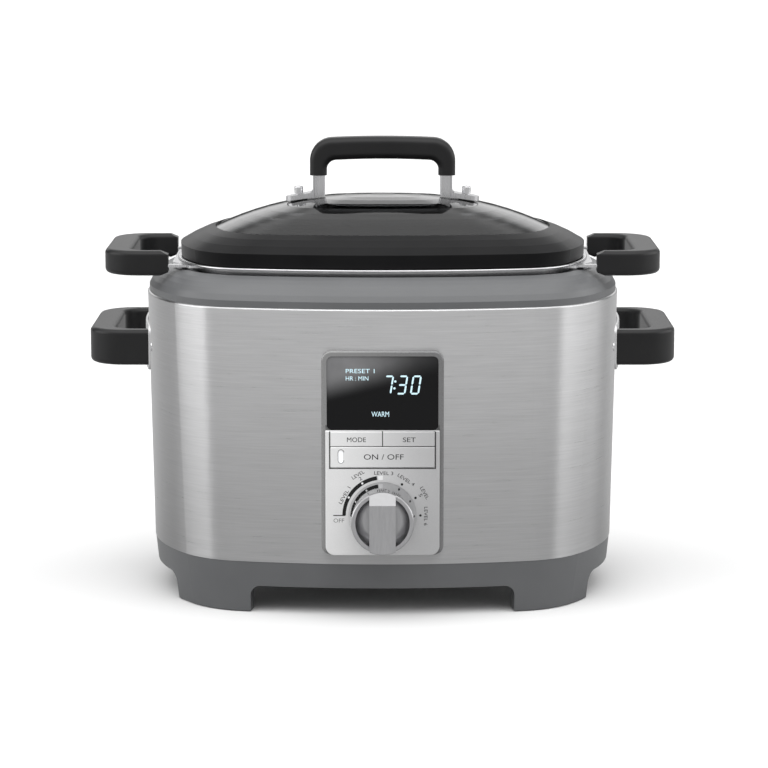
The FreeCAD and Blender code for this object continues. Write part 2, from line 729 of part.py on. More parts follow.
def knob():
    """A hollow steel knob: a tapered skirt, two scooped sides and a bar across its face."""
    rim_y = KNOB_BACK_Y - KNOB_RIM_DEPTH
    face_y = KNOB_BACK_Y - KNOB_FACE_DEPTH
    bar = KNOB_BAR_WIDTH / 2
    foot = V(0, KNOB_BACK_Y, DIAL_Z)
    body = Part.makeCone(KNOB_BASE_RADIUS, KNOB_FACE_RADIUS, KNOB_FACE_DEPTH, foot, V(0, -1, 0))
    body = soften(body, 1.2, facing_at(face_y))
    for sx in (-1, 1):
        side = sorted((sx * bar, sx * 60))
        body = body.cut(block(side, (face_y - 5, rim_y), (0, 160)))

    def round_rim(box):
        return facing_at(rim_y)(box) and box.ZMax - box.ZMin > 30 and box.XMax - box.XMin > 5

    body = soften(body, 1.6, round_rim)
    for sx in (-1, 1):
        side = sorted((sx * bar, sx * 60))
        scoop = rod(KNOB_RADIUS - 3.2, (0, rim_y + 11.0, DIAL_Z), (0, -1, 0), 30.0)
        scoop = soften(scoop, 6.0, facing_at(rim_y + 11.0))
        body = body.cut(scoop.common(block(side, (face_y - 5, 0), (0, 160))))
    body = body.cut(pointer_bevel(face_y))
    hollow = rod(KNOB_RADIUS - 3.0, (0, KNOB_BACK_Y, DIAL_Z), (0, -1, 0), 8.0)
    socket = rod(8.0, (0, KNOB_BACK_Y, DIAL_Z), (0, -1, 0), 16.0)
    return body.cut(hollow).cut(socket)


# ---- base handles ----
PLATE_OUT = 186.2
PLATE_HALF = 68.5
PLATE_FALL = 6.1
PLATE_BORDER = 3.8
PLATE_SHEET = 1.6
PLATE_Z = (BASE_HANDLE_Z[0] - PLATE_BORDER, BASE_HANDLE_Z[1] + PLATE_BORDER)
HANDLE_SCREW_Y = BASE_HANDLE_HALF - BASE_HANDLE_ARM / 2
HANDLE_SCREW_RADIUS = 2.0
HANDLE_SCREW_SEAT_X = -180.0


def plate_back(depth):
    """Everything deeper than a given depth behind the plate's outer face."""
    radius = (PLATE_FALL ** 2 + PLATE_HALF ** 2) / (2 * PLATE_FALL)
    return rod(radius - depth, (radius - PLATE_OUT, 0, PLATE_Z[0]), (0, 0, 1), PLATE_Z[1] - PLATE_Z[0])


def handle_plate_left():
    """A sheet flatter than the shell's end, touching it in the middle, with two studs on its back."""
    sheet = plate_back(0).cut(plate_back(PLATE_SHEET))
    sheet = sheet.common(slab_x(rectangle((-PLATE_HALF, PLATE_HALF), PLATE_Z, 7.0), -200, -150))
    sheet = soften(sheet, 0.5, lambda box: box.XMax < -179.8)
    sheet = sheet.cut(shell_outer())
    for y in (-STUD_Y, STUD_Y):
        sheet = sheet.fuse(rod(STUD_RADIUS, (-185, y, HANDLE_MIDDLE_Z), (1, 0, 0), 11))
    for y in (-HANDLE_SCREW_Y, HANDLE_SCREW_Y):
        hole = rod(HANDLE_SCREW_RADIUS + HOLE_GAP, (-190, y, HANDLE_MIDDLE_Z), (1, 0, 0), 20)
        seat = rod(4.1, (HANDLE_SCREW_SEAT_X, y, HANDLE_MIDDLE_Z), (1, 0, 0), 5)
        sheet = sheet.cut(hole).cut(seat)
    return sheet


def loop_plan(out, half, bar, arm, root):
    """A handle's outer outline, and the outline of its finger gap."""
    corner = HANDLE_CORNER
    outer = [(-out, -half, corner), (-out, half, corner), (-root, half, 0), (-root, -half, 0)]
    gap = half - arm
    turn = HANDLE_GAP_CORNER
    inner = [(bar - out, -gap, turn), (bar - out, gap, turn), (9 - root, gap, 0), (9 - root, -gap, 0)]
    return outer, inner


def base_handle_left():
    z0, z1 = BASE_HANDLE_Z
    outer, inner = loop_plan(BASE_HANDLE_OUT, BASE_HANDLE_HALF, 20.0, BASE_HANDLE_ARM, 168.0)
    loop = slab_z(outer, z0, z1).cut(slab_z(inner, z0 - 5, z1 + 5))
    level = either(flat_at(z0), flat_at(z1))
    loop = soften(loop, 3.6, lambda box: level(box) and box.XMin < -170)
    loop = loop.cut(plate_back(0)).cut(block((-175, 0), (-200, 200), (0, 400)))
    for y in (-HANDLE_SCREW_Y, HANDLE_SCREW_Y):
        loop = loop.cut(rod(HANDLE_SCREW_RADIUS, (-198, y, HANDLE_MIDDLE_Z), (1, 0, 0), 60))
    return loop


def base_handle_screws():
    """Pan-head screws from behind each plate into the arms, and nuts inside the shell on the plates' studs."""
    made = []
    for y in (-HANDLE_SCREW_Y, HANDLE_SCREW_Y):
        head = rod(3.6, (HANDLE_SCREW_SEAT_X, y, HANDLE_MIDDLE_Z), (1, 0, 0), 1.8)
        head = head.cut(rod(1.5, (HANDLE_SCREW_SEAT_X + 0.8, y, HANDLE_MIDDLE_Z), (1, 0, 0), 2))
        shank = rod(HANDLE_SCREW_RADIUS, (-198, y, HANDLE_MIDDLE_Z), (1, 0, 0), 18.5)
        made.append(head.fuse(shank))
    for y in (-STUD_Y, STUD_Y):
        nut = slab_x(hexagon(y, HANDLE_MIDDLE_Z, 4.6), -186, -177.5).common(shell_inner(SHELL_TOP_Z))
        made.append(nut.cut(rod(STUD_RADIUS + HOLE_GAP, (-190, y, HANDLE_MIDDLE_Z), (1, 0, 0), 20)))
    return Part.makeCompound(made + [mirror_x(piece) for piece in made])


# ---- power inlet ----
INLET_FLANGE = (50.0, 23.0)
INLET_FACE_Y = 132.6
PIN_REACH = 12.0
PIN_PLACES = [(-7.0, INLET_Z - 2.0), (7.0, INLET_Z - 2.0), (0.0, INLET_Z + 2.0)]
LEAD_RADIUS = 1.4
LEAD_TURN = 6.0


def power_inlet():
    half, rise = INLET_BODY[0] / 2 - 0.05, INLET_BODY[1] / 2 - 0.05
    body_edge = rectangle((-half, half), (INLET_Z - rise, INLET_Z + rise), 0.95)
    body = slab_y(body_edge, INLET_FACE_Y - INLET_DEPTH, INLET_FACE_Y)
    wide, tall = INLET_FLANGE[0] / 2, INLET_FLANGE[1] / 2
    flange_edge = rectangle((-wide, wide), (INLET_Z - tall, INLET_Z + tall), 4.0)
    flange = slab_y(flange_edge, 120, INLET_FACE_Y)
    flange = soften(flange, 0.6, facing_at(INLET_FACE_Y)).cut(shell_outer())
    shape = body.fuse(flange)
    mouth = [
        (-12.2, INLET_Z - 8.2, 1.0),
        (12.2, INLET_Z - 8.2, 1.0),
        (12.2, INLET_Z + 4.2, 0.5),
        (7.8, INLET_Z + 8.2, 0.5),
        (-7.8, INLET_Z + 8.2, 0.5),
        (-12.2, INLET_Z + 4.2, 0.5),
    ]
    shape = shape.cut(slab_y(mouth, INLET_FACE_Y - 17.0, INLET_FACE_Y + 5))
    return shape.cut(inlet_screw_holes()).cut(inlet_pins())


def inlet_pins():
    floor = INLET_FACE_Y - 17.0
    made = []
    for x, z in PIN_PLACES:
        made.append(block((x - 1, x + 1), (floor - 11, floor + PIN_REACH), (z - 2, z + 2)))
    return Part.makeCompound(made)


def inlet_screws():
    made = []
    for sx in (-1, 1):
        x = sx * INLET_SCREW_SPACING / 2
        head = rod(2.7, (x, INLET_FACE_Y, INLET_Z), (0, 1, 0), 1.6)
        head = soften(head, 0.6, facing_at(INLET_FACE_Y + 1.6))
        head = head.cut(rod(1.1, (x, INLET_FACE_Y + 0.8, INLET_Z), (0, 1, 0), 3))
        shank = rod(INLET_SCREW_RADIUS, (x, INLET_FACE_Y - 9, INLET_Z), (0, 1, 0), 9)
        made.append(head.fuse(shank))
    return Part.makeCompound(made)


def lead(points, radius, turn):
    """An insulated wire: straight runs joined by tangent arcs."""
    edges = []
    start = V(*points[0])
    for i in range(1, len(points) - 1):
        corner = V(*points[i])
        to_a = (V(*points[i - 1]) - corner).normalize()
        to_b = (V(*points[i + 1]) - corner).normalize()
        half = to_a.getAngle(to_b) / 2
        back = turn / math.tan(half)
        middle = (to_a + to_b).normalize()
        enter = corner + to_a * back
        leave = corner + to_b * back
        apex = corner + middle * (turn / math.sin(half) - turn)
        edges.append(Part.LineSegment(start, enter).toShape())
        edges.append(Part.Arc(enter, apex, leave).toShape())
        start = leave
    edges.append(Part.LineSegment(start, V(*points[-1])).toShape())
    spine = Part.Wire(edges)
    direction = V(*points[1]) - V(*points[0])
    section = Part.Wire(Part.makeCircle(radius, V(*points[0]), direction))
    return spine.makePipeShell([section], True, True)


def mains_leads():
    """Live, neutral and earth from the inlet's tabs to the power board."""
    tab = INLET_FACE_Y - 28.0
    z = POWER_BOARD_TOP
    high = z + 20.0
    made = []
    for (x, tab_z), end_x in zip(PIN_PLACES, (-36.0, 30.0, 4.0)):
        route = [(x, tab, tab_z), (x, 84, tab_z), (end_x, 62, high), (end_x, 33, high), (end_x, 33, z)]
        made.append(lead(route, LEAD_RADIUS, LEAD_TURN))
    return Part.makeCompound(made)


def heater_leads():
    """From the relays up to the heating element's two terminals."""
    z = POWER_BOARD_TOP
    run_z = z + 14.0
    made = []
    for sy in (-1, 1):
        x, y = TERMINAL_X, sy * TERMINAL_Y
        route = [(38, y, z), (38, y, run_z), (x, y, run_z), (x, y, TERMINAL_FOOT_Z)]
        made.append(lead(route, LEAD_RADIUS, LEAD_TURN))
    return Part.makeCompound(made)


# ---- vessel ----
VESSEL_OUTER = VESSEL_RIM.grow(-VESSEL_FLANGE)
VESSEL_RIM_UNDER = VESSEL_RIM_Z - VESSEL_RIM_THICK
VESSEL_CORNER = 15.0


def vessel_form(inset, bottom_z):
    bottom = VESSEL_OUTER.grow(-VESSEL_DRAFT - inset)
    form = tower([(bottom, bottom_z), (VESSEL_OUTER.grow(-inset), VESSEL_RIM_Z)])
    return soften(form, VESSEL_CORNER - inset, flat_at(bottom_z))


def cooking_vessel():
    rim = prism(VESSEL_RIM, VESSEL_RIM_UNDER, VESSEL_RIM_Z)
    rim = soften(rim, 0.85, either(flat_at(VESSEL_RIM_Z), flat_at(VESSEL_RIM_UNDER)))
    shape = vessel_form(0.0, VESSEL_BOTTOM_Z).fuse(rim)
    bowl = vessel_form(VESSEL_WALL, VESSEL_BOTTOM_Z + 2.5)
    mouth = prism(VESSEL_OUTER.grow(-VESSEL_WALL), VESSEL_RIM_Z - 0.01, VESSEL_RIM_Z + 5)
    return shape.cut(bowl).cut(mouth).removeSplitter()


TANG_Y = 57.0
TANG_HALF = 4.0
TANG_SCREW_X = 173.0
TANG_SCREW_RADIUS = 1.5
TANG_SCREW_TOP_Z = VESSEL_RIM_UNDER + 5.9
TANG_HEAD_RADIUS = 2.7
TANG_SEAT_Z = 256.6
STRAP_UNDER = VESSEL_RIM_UNDER - 1.8


def vessel_bracket_left():
    """A steel strap under the rim, with a tang into each arm of the handle."""
    edge = [(-120, -66, 0), (-120, 66, 0), (-148, 66, 4), (-163, 40, 10), (-163, -40, 10), (-148, -66, 4)]
    strap = slab_z(edge, STRAP_UNDER, VESSEL_RIM_UNDER)
    for y in (-TANG_Y, TANG_Y):
        tang = rectangle((-178, -140), (y - TANG_HALF, y + TANG_HALF), 1.0)
        strap = strap.fuse(slab_z(tang, STRAP_UNDER, VESSEL_RIM_UNDER))
        strap = strap.cut(rod(TANG_SCREW_RADIUS + HOLE_GAP, (-TANG_SCREW_X, y, 200), (0, 0, 1), 100))
    return strap.cut(vessel_form(0.0, VESSEL_BOTTOM_Z)).removeSplitter()


def vessel_handle_left():
    z0, z1 = VESSEL_HANDLE_Z
    outer, inner = loop_plan(VESSEL_HANDLE_OUT, VESSEL_HANDLE_HALF, 21.0, 11.0, 165.0)
    inner = inner[:2] + [(-140, VESSEL_HANDLE_HALF - 11.0, 0), (-140, -VESSEL_HANDLE_HALF + 11.0, 0)]
    loop = slab_z(outer, z0, z1).cut(slab_z(inner, z0 - 5, z1 + 5))
    level = either(flat_at(z0), flat_at(z1))
    loop = soften(loop, 3.8, lambda box: level(box) and box.XMin < -166)
    profile = [
        (-230, z0 - 1, 0),
        (-174, z0 - 1, 0),
        (-164, z0 + 3.4, 0),
        (-162, z0 + 3.4, 0),
        (-162, z1 - 3.8, 0),
        (-167, z1 - 2.0, 0),
        (-173, z1 + 1, 0),
        (-230, z1 + 1, 0),
    ]
    keep = Part.Face(outline(profile, lambda u, v: V(u, -80, v))).extrude(V(0, 160, 0))
    loop = loop.common(keep)
    for y in (-TANG_Y, TANG_Y):
        slot = block((-178, -150), (y - TANG_HALF, y + TANG_HALF), (STRAP_UNDER, VESSEL_RIM_UNDER))
        hole = rod(TANG_SCREW_RADIUS, (-TANG_SCREW_X, y, z0 - 1), (0, 0, 1), TANG_SCREW_TOP_Z - z0 + 1)
        recess = rod(TANG_HEAD_RADIUS + RUN_GAP, (-TANG_SCREW_X, y, z0 - 1), (0, 0, 1), TANG_SEAT_Z - z0 + 1)
        loop = loop.cut(slot).cut(hole).cut(recess)
    return loop


def vessel_handle_screws():
    shank = TANG_SCREW_TOP_Z - TANG_SEAT_Z
    return four(lambda x, y: screw(x, y, TANG_SEAT_Z, shank, TANG_HEAD_RADIUS, 1.6), TANG_SCREW_X, TANG_Y)


# ---- lid ----
def dome_height(s):
    """Height of the glass's outer face where the plan is s times the glass edge."""
    low = LID_GLASS_EDGE_Z - 1.2
    return low + (LID_GLASS_APEX_Z - low) * (1 - s ** LID_DOME_POWER)


DOME_STEPS = (1.045, 0.99, 0.93, 0.86, 0.78, 0.69, 0.59, 0.48, 0.36, 0.23, 0.08)


def dome_levels():
    return [(GLASS_EDGE.scaled(s), dome_height(s)) for s in DOME_STEPS]


def lid_glass():
    edge, edge_z = dome_levels()[0]
    under_z = edge_z - LID_GLASS_THICK
    inner = [(oval, z - LID_GLASS_THICK) for oval, z in dome_levels()]
    inner[0] = (GLASS_EDGE.scaled(DOME_STEPS[0] - 0.03), under_z - 0.01)
    shape = tower([(edge, under_z)] + dome_levels()).cut(tower(inner))
    return shape.cut(bolt_hole()).cut(mirror_x(bolt_hole()))


def between(low, high, t):
    """The oval a share t of the way from one outline to another."""
    return Oval(
        low.a + (high.a - low.a) * t,
        low.b + (high.b - low.b) * t,
        low.face + (high.face - low.face) * t,
        low.end + (high.end - low.end) * t,
        low.corner + (high.corner - low.corner) * t,
    )


def rim_levels(inset, drop):
    rise = LID_GLASS_EDGE_Z - LID_WALL_TOP_Z
    levels = [(LID_WALL_BOTTOM.grow(-inset), LID_BOTTOM_Z)]
    levels.append((LID_WALL_TOP.grow(-inset), LID_WALL_TOP_Z - drop))
    for t in (0.33, 0.67, 1.0):
        bulge = 4 * LID_BULGE * t * (1 - t)
        oval = between(LID_WALL_TOP, GLASS_EDGE, t).grow(-inset * (1 - t))
        levels.append((oval, LID_WALL_TOP_Z + rise * t + bulge - drop))
    return levels


def lid_rim():
    shape = tower(rim_levels(0.0, 0.0))
    shape = soften(shape, 1.0, flat_at(LID_BOTTOM_Z))
    hollow = [(oval, z) for oval, z in rim_levels(4.0, 3.2)]
    hollow[0] = (hollow[0][0], LID_BOTTOM_Z - 5)
    shape = shape.cut(tower(hollow))
    shape = shape.cut(prism(GLASS_EDGE, 250, 300))
    shape = shape.cut(prism(GLASS_EDGE.scaled(DOME_STEPS[0]), 200, dome_height(DOME_STEPS[0])))
    shape = shape.cut(tower(dome_levels()))
    lip = prism(LID_WALL_BOTTOM.grow(-1.0), LID_BOTTOM_Z, LID_BOTTOM_Z + 3.0)
    lip = lip.cut(prism(LID_WALL_BOTTOM.grow(-8.5), 200, 300))
    seat_top = dome_height(DOME_STEPS[0]) - LID_GLASS_THICK
    seat = prism(GLASS_EDGE.scaled(DOME_STEPS[0]).grow(6.0), seat_top - 2.5, seat_top)
    seat = seat.cut(prism(GLASS_EDGE.grow(-1.0), 200, 300))
    return shape.fuse(lip).fuse(seat).removeSplitter()


def lid_gasket():
    ring = prism(LID_WALL_BOTTOM.grow(-8.5), LID_BOTTOM_Z - 5.0, LID_BOTTOM_Z + 3.0)
    return ring.cut(prism(LID_WALL_BOTTOM.grow(-10.7), 200, 300))


POST_X = 49.9
POST_HALF = (4.7, 6.5)
BOLT_X = 65.9
POST_TOP_Z = 332.0
FOOT_THICK = 3.6
WASHER_THICK = 1.2
GRIP_LEG_Z = 324.0
BOLT_RADIUS = 2.5


def bolt_hole():
    """The hole that the left lid bolt passes through."""
    return rod(BOLT_RADIUS + HOLE_GAP, (-BOLT_X, 0, 250), (0, 0, 1), 100)


def foot_under(x):
    """Height of the post's foot above the dome at x, with a washer between them."""
    return dome_height(x / GLASS_EDGE.a) + WASHER_THICK


def post():
    """A square post on a foot that follows the dome, made on the left."""
    inner = POST_X - POST_HALF[0]
    outer = POST_X + POST_HALF[0]
    tip = 76.0
    side = [
        (-inner, foot_under(inner), 0.8),
        (-inner, POST_TOP_Z, 1.0),
        (-outer, POST_TOP_Z, 1.0),
        (-outer, foot_under(outer) + FOOT_THICK, 3.0),
        (-tip, foot_under(tip) + FOOT_THICK, 1.0),
        (-tip, foot_under(tip), 1.0),
    ]
    shape = Part.Face(outline(side, lambda u, v: V(u, -8, v))).extrude(V(0, 16, 0))
    foot_plan = slab_z([(-tip, -8, 7.5), (-tip, 8, 7.5), (-outer + 1, 8, 0), (-outer + 1, -8, 0)], 280, 360)
    stem_plan = slab_z(rectangle((-outer, -inner), (-POST_HALF[1], POST_HALF[1]), 1.5), 280, 360)
    shape = shape.common(foot_plan.fuse(stem_plan))
    return shape.cut(bolt_hole())


def pair(shape):
    return Part.makeCompound([shape, mirror_x(shape)])


def lid_posts():
    return pair(post())


def lid_bolts():
    seat = foot_under(BOLT_X) + FOOT_THICK + 0.6
    tall = 5.4
    head = soften(rod(3.5, (-BOLT_X, 0, seat), (0, 0, 1), tall), 1.0, flat_at(seat + tall))
    socket = rod(1.5, (-BOLT_X, 0, seat + tall - 2.8), (0, 0, 1), 5)
    shank = rod(BOLT_RADIUS, (-BOLT_X, 0, seat - 20.0), (0, 0, 1), 20.0)
    return pair(head.cut(socket).fuse(shank))


def lid_washers():
    """A silicone washer between each foot and the glass."""
    disc = rod(6.5, (-BOLT_X, 0, 294), (0, 0, 1), 20).cut(bolt_hole())
    above_foot = block((-90, -40), (-10, 10), (foot_under(BOLT_X) + 0.5, 400))
    return pair(disc.cut(tower(dome_levels())).cut(post()).cut(above_foot))


def lid_nuts():
    top = dome_height(BOLT_X / GLASS_EDGE.a) - LID_GLASS_THICK - 2.2
    thick = 4.5
    nut = slab_z(hexagon(-BOLT_X, 0, 4.6), top - thick, top)
    washer = rod(6.0, (-BOLT_X, 0, top), (0, 0, 1), 0.8)
    nut = nut.fuse(washer).cut(bolt_hole())
    return pair(nut)


def lid_handle_grip():
    """The arched bar and its two legs."""
    out = GRIP_HALF_WIDTH
    inside = out - GRIP_LEG
    high = GRIP_TOP_Z - 1.8
    low = high - GRIP_BAR + 0.5
    side = [
        (-out, GRIP_LEG_Z, 0),
        (-out, high, GRIP_CORNER),
        (0, high + 2.66, 850.0),
        (out, high, GRIP_CORNER),
        (out, GRIP_LEG_Z, 0),
        (inside, GRIP_LEG_Z, 0),
        (inside, low, 7.5),
        (0, low + 1.9, 700.0),
        (-inside, low, 7.5),
        (-inside, GRIP_LEG_Z, 0),
    ]
    grip = slab_y(side, -GRIP_HALF_DEPTH, GRIP_HALF_DEPTH)

    def long_edge(box):
        return facing_at(-GRIP_HALF_DEPTH)(box) or facing_at(GRIP_HALF_DEPTH)(box)

    grip = soften(grip, GRIP_ROUNDING, lambda box: long_edge(box) and box.ZMax > GRIP_LEG_Z + 1)
    pocket = pair(post()).common(block((-100, 100), (-20, 20), (GRIP_LEG_Z - 1, 400)))
    return grip.cut(pocket)


def mirrored(build):
    return lambda: mirror_x(build())


NODES = {
    "base_moulding": base_moulding,
    "foot_pads": foot_pads,
    "bottom_plate": bottom_plate,
    "bottom_screws": bottom_screws,
    "outer_shell": outer_shell,
    "top_collar": top_collar,
    "heating_well": heating_well,
    "band_heater": band_heater,
    "insulation_blanket": insulation_blanket,
    "heater_plate": heater_plate,
    "heating_element": heating_element,
    "well_supports": well_supports,
    "temperature_sensor": temperature_sensor,
    "sensor_spring": sensor_spring,
    "sensor_bracket": sensor_bracket,
    "thermal_fuse": thermal_fuse,
    "power_board": power_board,
    "board_standoffs": board_standoffs,
    "transformer": transformer,
    "relays": relays,
    "capacitors": capacitors,
    "bezel_frame": bezel_frame,
    "display_lens": display_lens,
    "display_module": display_module,
    "control_fascia": control_fascia,
    "back_button": lambda: button(*BACK_SPAN),
    "timer_button": lambda: button(*TIMER_SPAN),
    "start_button": start_button,
    "start_light_pipe": start_light_pipe,
    "tact_switches": tact_switches,
    "control_board": control_board,
    "ribbon_cable": ribbon_cable,
    "encoder_body": encoder_body,
    "encoder_shaft": encoder_shaft,
    "knob_core": knob_core,
    "knob": knob,
    "handle_plate_left": handle_plate_left,
    "handle_plate_right": mirrored(handle_plate_left),
    "base_handle_left": base_handle_left,
    "base_handle_right": mirrored(base_handle_left),
    "base_handle_screws": base_handle_screws,
    "power_inlet": power_inlet,
    "inlet_pins": inlet_pins,
    "inlet_screws": inlet_screws,
    "mains_leads": mains_leads,
    "heater_leads": heater_leads,
    "cooking_vessel": cooking_vessel,
    "vessel_bracket_left": vessel_bracket_left,
    "vessel_bracket_right": mirrored(vessel_bracket_left),
    "vessel_handle_left": vessel_handle_left,
    "vessel_handle_right": mirrored(vessel_handle_left),
    "vessel_handle_screws": vessel_handle_screws,
    "lid_glass": lid_glass,
    "lid_rim": lid_rim,
    "lid_gasket": lid_gasket,
    "lid_handle_grip": lid_handle_grip,
    "lid_posts": lid_posts,
    "lid_bolts": lid_bolts,
    "lid_washers": lid_washers,
    "lid_nuts": lid_nuts,
}

os.makedirs("parts", exist_ok=True)
for name, build in NODES.items():
    piece = build()
    piece.translate(V(0, SHIFT_Y, 0))
    piece.exportStep(f"parts/{name}.step")
    closed = all(solid.isValid() for solid in piece.Solids)
    print(f"{name:22s} {len(piece.Solids):2d} solids, valid {closed}, {piece.Volume / 1000:9.2f} cm3")
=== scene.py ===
import json
import math

import bmesh
import bpy
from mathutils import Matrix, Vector


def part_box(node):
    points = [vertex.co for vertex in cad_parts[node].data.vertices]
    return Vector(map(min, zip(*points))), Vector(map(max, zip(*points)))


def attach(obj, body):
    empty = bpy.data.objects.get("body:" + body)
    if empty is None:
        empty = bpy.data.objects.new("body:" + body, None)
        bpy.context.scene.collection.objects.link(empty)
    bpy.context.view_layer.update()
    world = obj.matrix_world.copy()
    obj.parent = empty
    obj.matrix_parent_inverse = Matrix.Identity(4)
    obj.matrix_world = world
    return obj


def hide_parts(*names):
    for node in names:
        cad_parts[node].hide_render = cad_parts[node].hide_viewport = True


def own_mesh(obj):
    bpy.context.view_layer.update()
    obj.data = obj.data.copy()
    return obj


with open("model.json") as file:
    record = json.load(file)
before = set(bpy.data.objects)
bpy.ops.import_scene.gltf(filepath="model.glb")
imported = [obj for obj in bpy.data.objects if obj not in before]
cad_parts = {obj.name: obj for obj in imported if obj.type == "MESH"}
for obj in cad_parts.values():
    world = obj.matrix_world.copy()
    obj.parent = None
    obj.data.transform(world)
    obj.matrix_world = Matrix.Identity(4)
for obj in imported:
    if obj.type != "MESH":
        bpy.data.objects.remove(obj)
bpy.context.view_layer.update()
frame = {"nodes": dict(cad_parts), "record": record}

# ---- driving dimensions, in metres: +Z up, the front faces -Y ----
SHELL_LOW, SHELL_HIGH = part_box("outer_shell")
BODY_Y = (SHELL_LOW.y + SHELL_HIGH.y) / 2
MM = 0.001

CAMERA_DISTANCE = 2.394
CAMERA_HEIGHT = 0.5537
CAMERA_PITCH = 9.404
CAMERA_LENS = 143.16
CAMERA_SIDE = 0.0011

FLOOR_RADIUS = 20.0
FLOOR_SIDES = 128
FLOOR_BOUNCE = (0.4, 0.4, 0.4, 1.0)


# ---- studio ----
def add_camera():
    camera = bpy.data.objects.new("camera", bpy.data.cameras.new("camera"))
    bpy.context.scene.collection.objects.link(camera)
    camera.location = (CAMERA_SIDE, BODY_Y - CAMERA_DISTANCE, CAMERA_HEIGHT)
    camera.rotation_euler = (math.radians(90 - CAMERA_PITCH), 0, 0)
    camera.data.lens = CAMERA_LENS
    camera.data.sensor_width = 36.0
    camera.data.clip_end = 100
    bpy.context.scene.camera = camera


class Graph:
    """A short way to write the nodes of one shader."""

    def __init__(self, tree):
        self.tree = tree

    def add(self, kind, inputs=None, **settings):
        node = self.tree.nodes.new(kind)
        for name, value in settings.items():
            setattr(node, name, value)
        for name, value in (inputs or {}).items():
            self.plug(node.inputs[name], value)
        return node

    def plug(self, socket, value):
        if isinstance(value, bpy.types.NodeSocket):
            self.tree.links.new(value, socket)
        else:
            socket.default_value = value

    def math(self, operation, a, b=0.0):
        return self.add("ShaderNodeMath", {0: a, 1: b}, operation=operation).outputs[0]

    def step(self, value, start, end, low=0.0, high=1.0):
        """Low before start, high after end, and a smooth curve between them."""
        found = {"Value": value, "From Min": start, "From Max": end, "To Min": low, "To Max": high}
        return self.add("ShaderNodeMapRange", found, interpolation_type="SMOOTHSTEP").outputs[0]

    def spread(self, value, low, high, start=0.3, end=0.7):
        """A value stretched so that start to end becomes low to high."""
        found = {"Value": value, "From Min": start, "From Max": end, "To Min": low, "To Max": high}
        return self.add("ShaderNodeMapRange", found).outputs[0]

    def place(self, scale=(1.0, 1.0, 1.0)):
        """The point on the piece, in metres, stretched by scale."""
        point = self.add("ShaderNodeTexCoord").outputs["Object"]
        return self.add("ShaderNodeMapping", {"Vector": point, "Scale": scale}).outputs[0]

    def noise(self, vector, scale, detail=2.0, roughness=0.5):
        found = {"Vector": vector, "Scale": scale, "Detail": detail, "Roughness": roughness}
        return self.add("ShaderNodeTexNoise", found).outputs[0]

    def tone(self, value, dark, light):
        """A colour between dark and light, by value."""
        node = self.add("ShaderNodeMix", data_type="RGBA")
        self.plug(node.inputs[0], value)
        node.inputs[6].default_value = (*dark, 1)
        node.inputs[7].default_value = (*light, 1)
        return node.outputs[2]

    def blend(self, value, first, second):
        """A colour between two others that are nodes themselves, by value."""
        node = self.add("ShaderNodeMix", data_type="RGBA")
        self.plug(node.inputs[0], value)
        self.plug(node.inputs[6], first)
        self.plug(node.inputs[7], second)
        return node.outputs[2]

    def blend_value(self, value, first, second):
        """A number between two others, by value."""
        node = self.add("ShaderNodeMix", data_type="FLOAT")
        for socket, given in zip((node.inputs[0], node.inputs[2], node.inputs[3]), (value, first, second)):
            self.plug(socket, given)
        return node.outputs[0]

    def bump(self, height, strength, distance):
        found = {"Height": height, "Strength": strength, "Distance": distance}
        return self.add("ShaderNodeBump", found).outputs[0]


# The studio by direction. Azimuth is from the front, in degrees. A pair is the start and the end of a
# soft step: heights are sines of the elevation, and the back wall's depth is the direction's Y part.
FRONT_LIGHT = 0.62
BACK_LIGHT = 0.06
BELOW_LIGHT = 0.15
HIGH_FRONT_LIGHT = 2.2
HIGH_BACK_LIGHT = 1.15
WALL_TURNS_DARK = (60, 120)
CEILING_STARTS = (0.45, 0.8)
BACK_WALL_STARTS = (0.04, 0.16)
BACK_WALL_DEPTH = (0.75, 0.92)
SOFTBOX_FOOT = (-0.05, 0.04)
SOFTBOX_TOP = (0.45, 0.62)
HORIZON = (-0.06, 0.0)
SOFTBOX_EDGE = 7
# each softbox's first and last azimuth and its power
SOFTBOXES = [(-113, -62, 2.15), (66, 130, 1.9)]


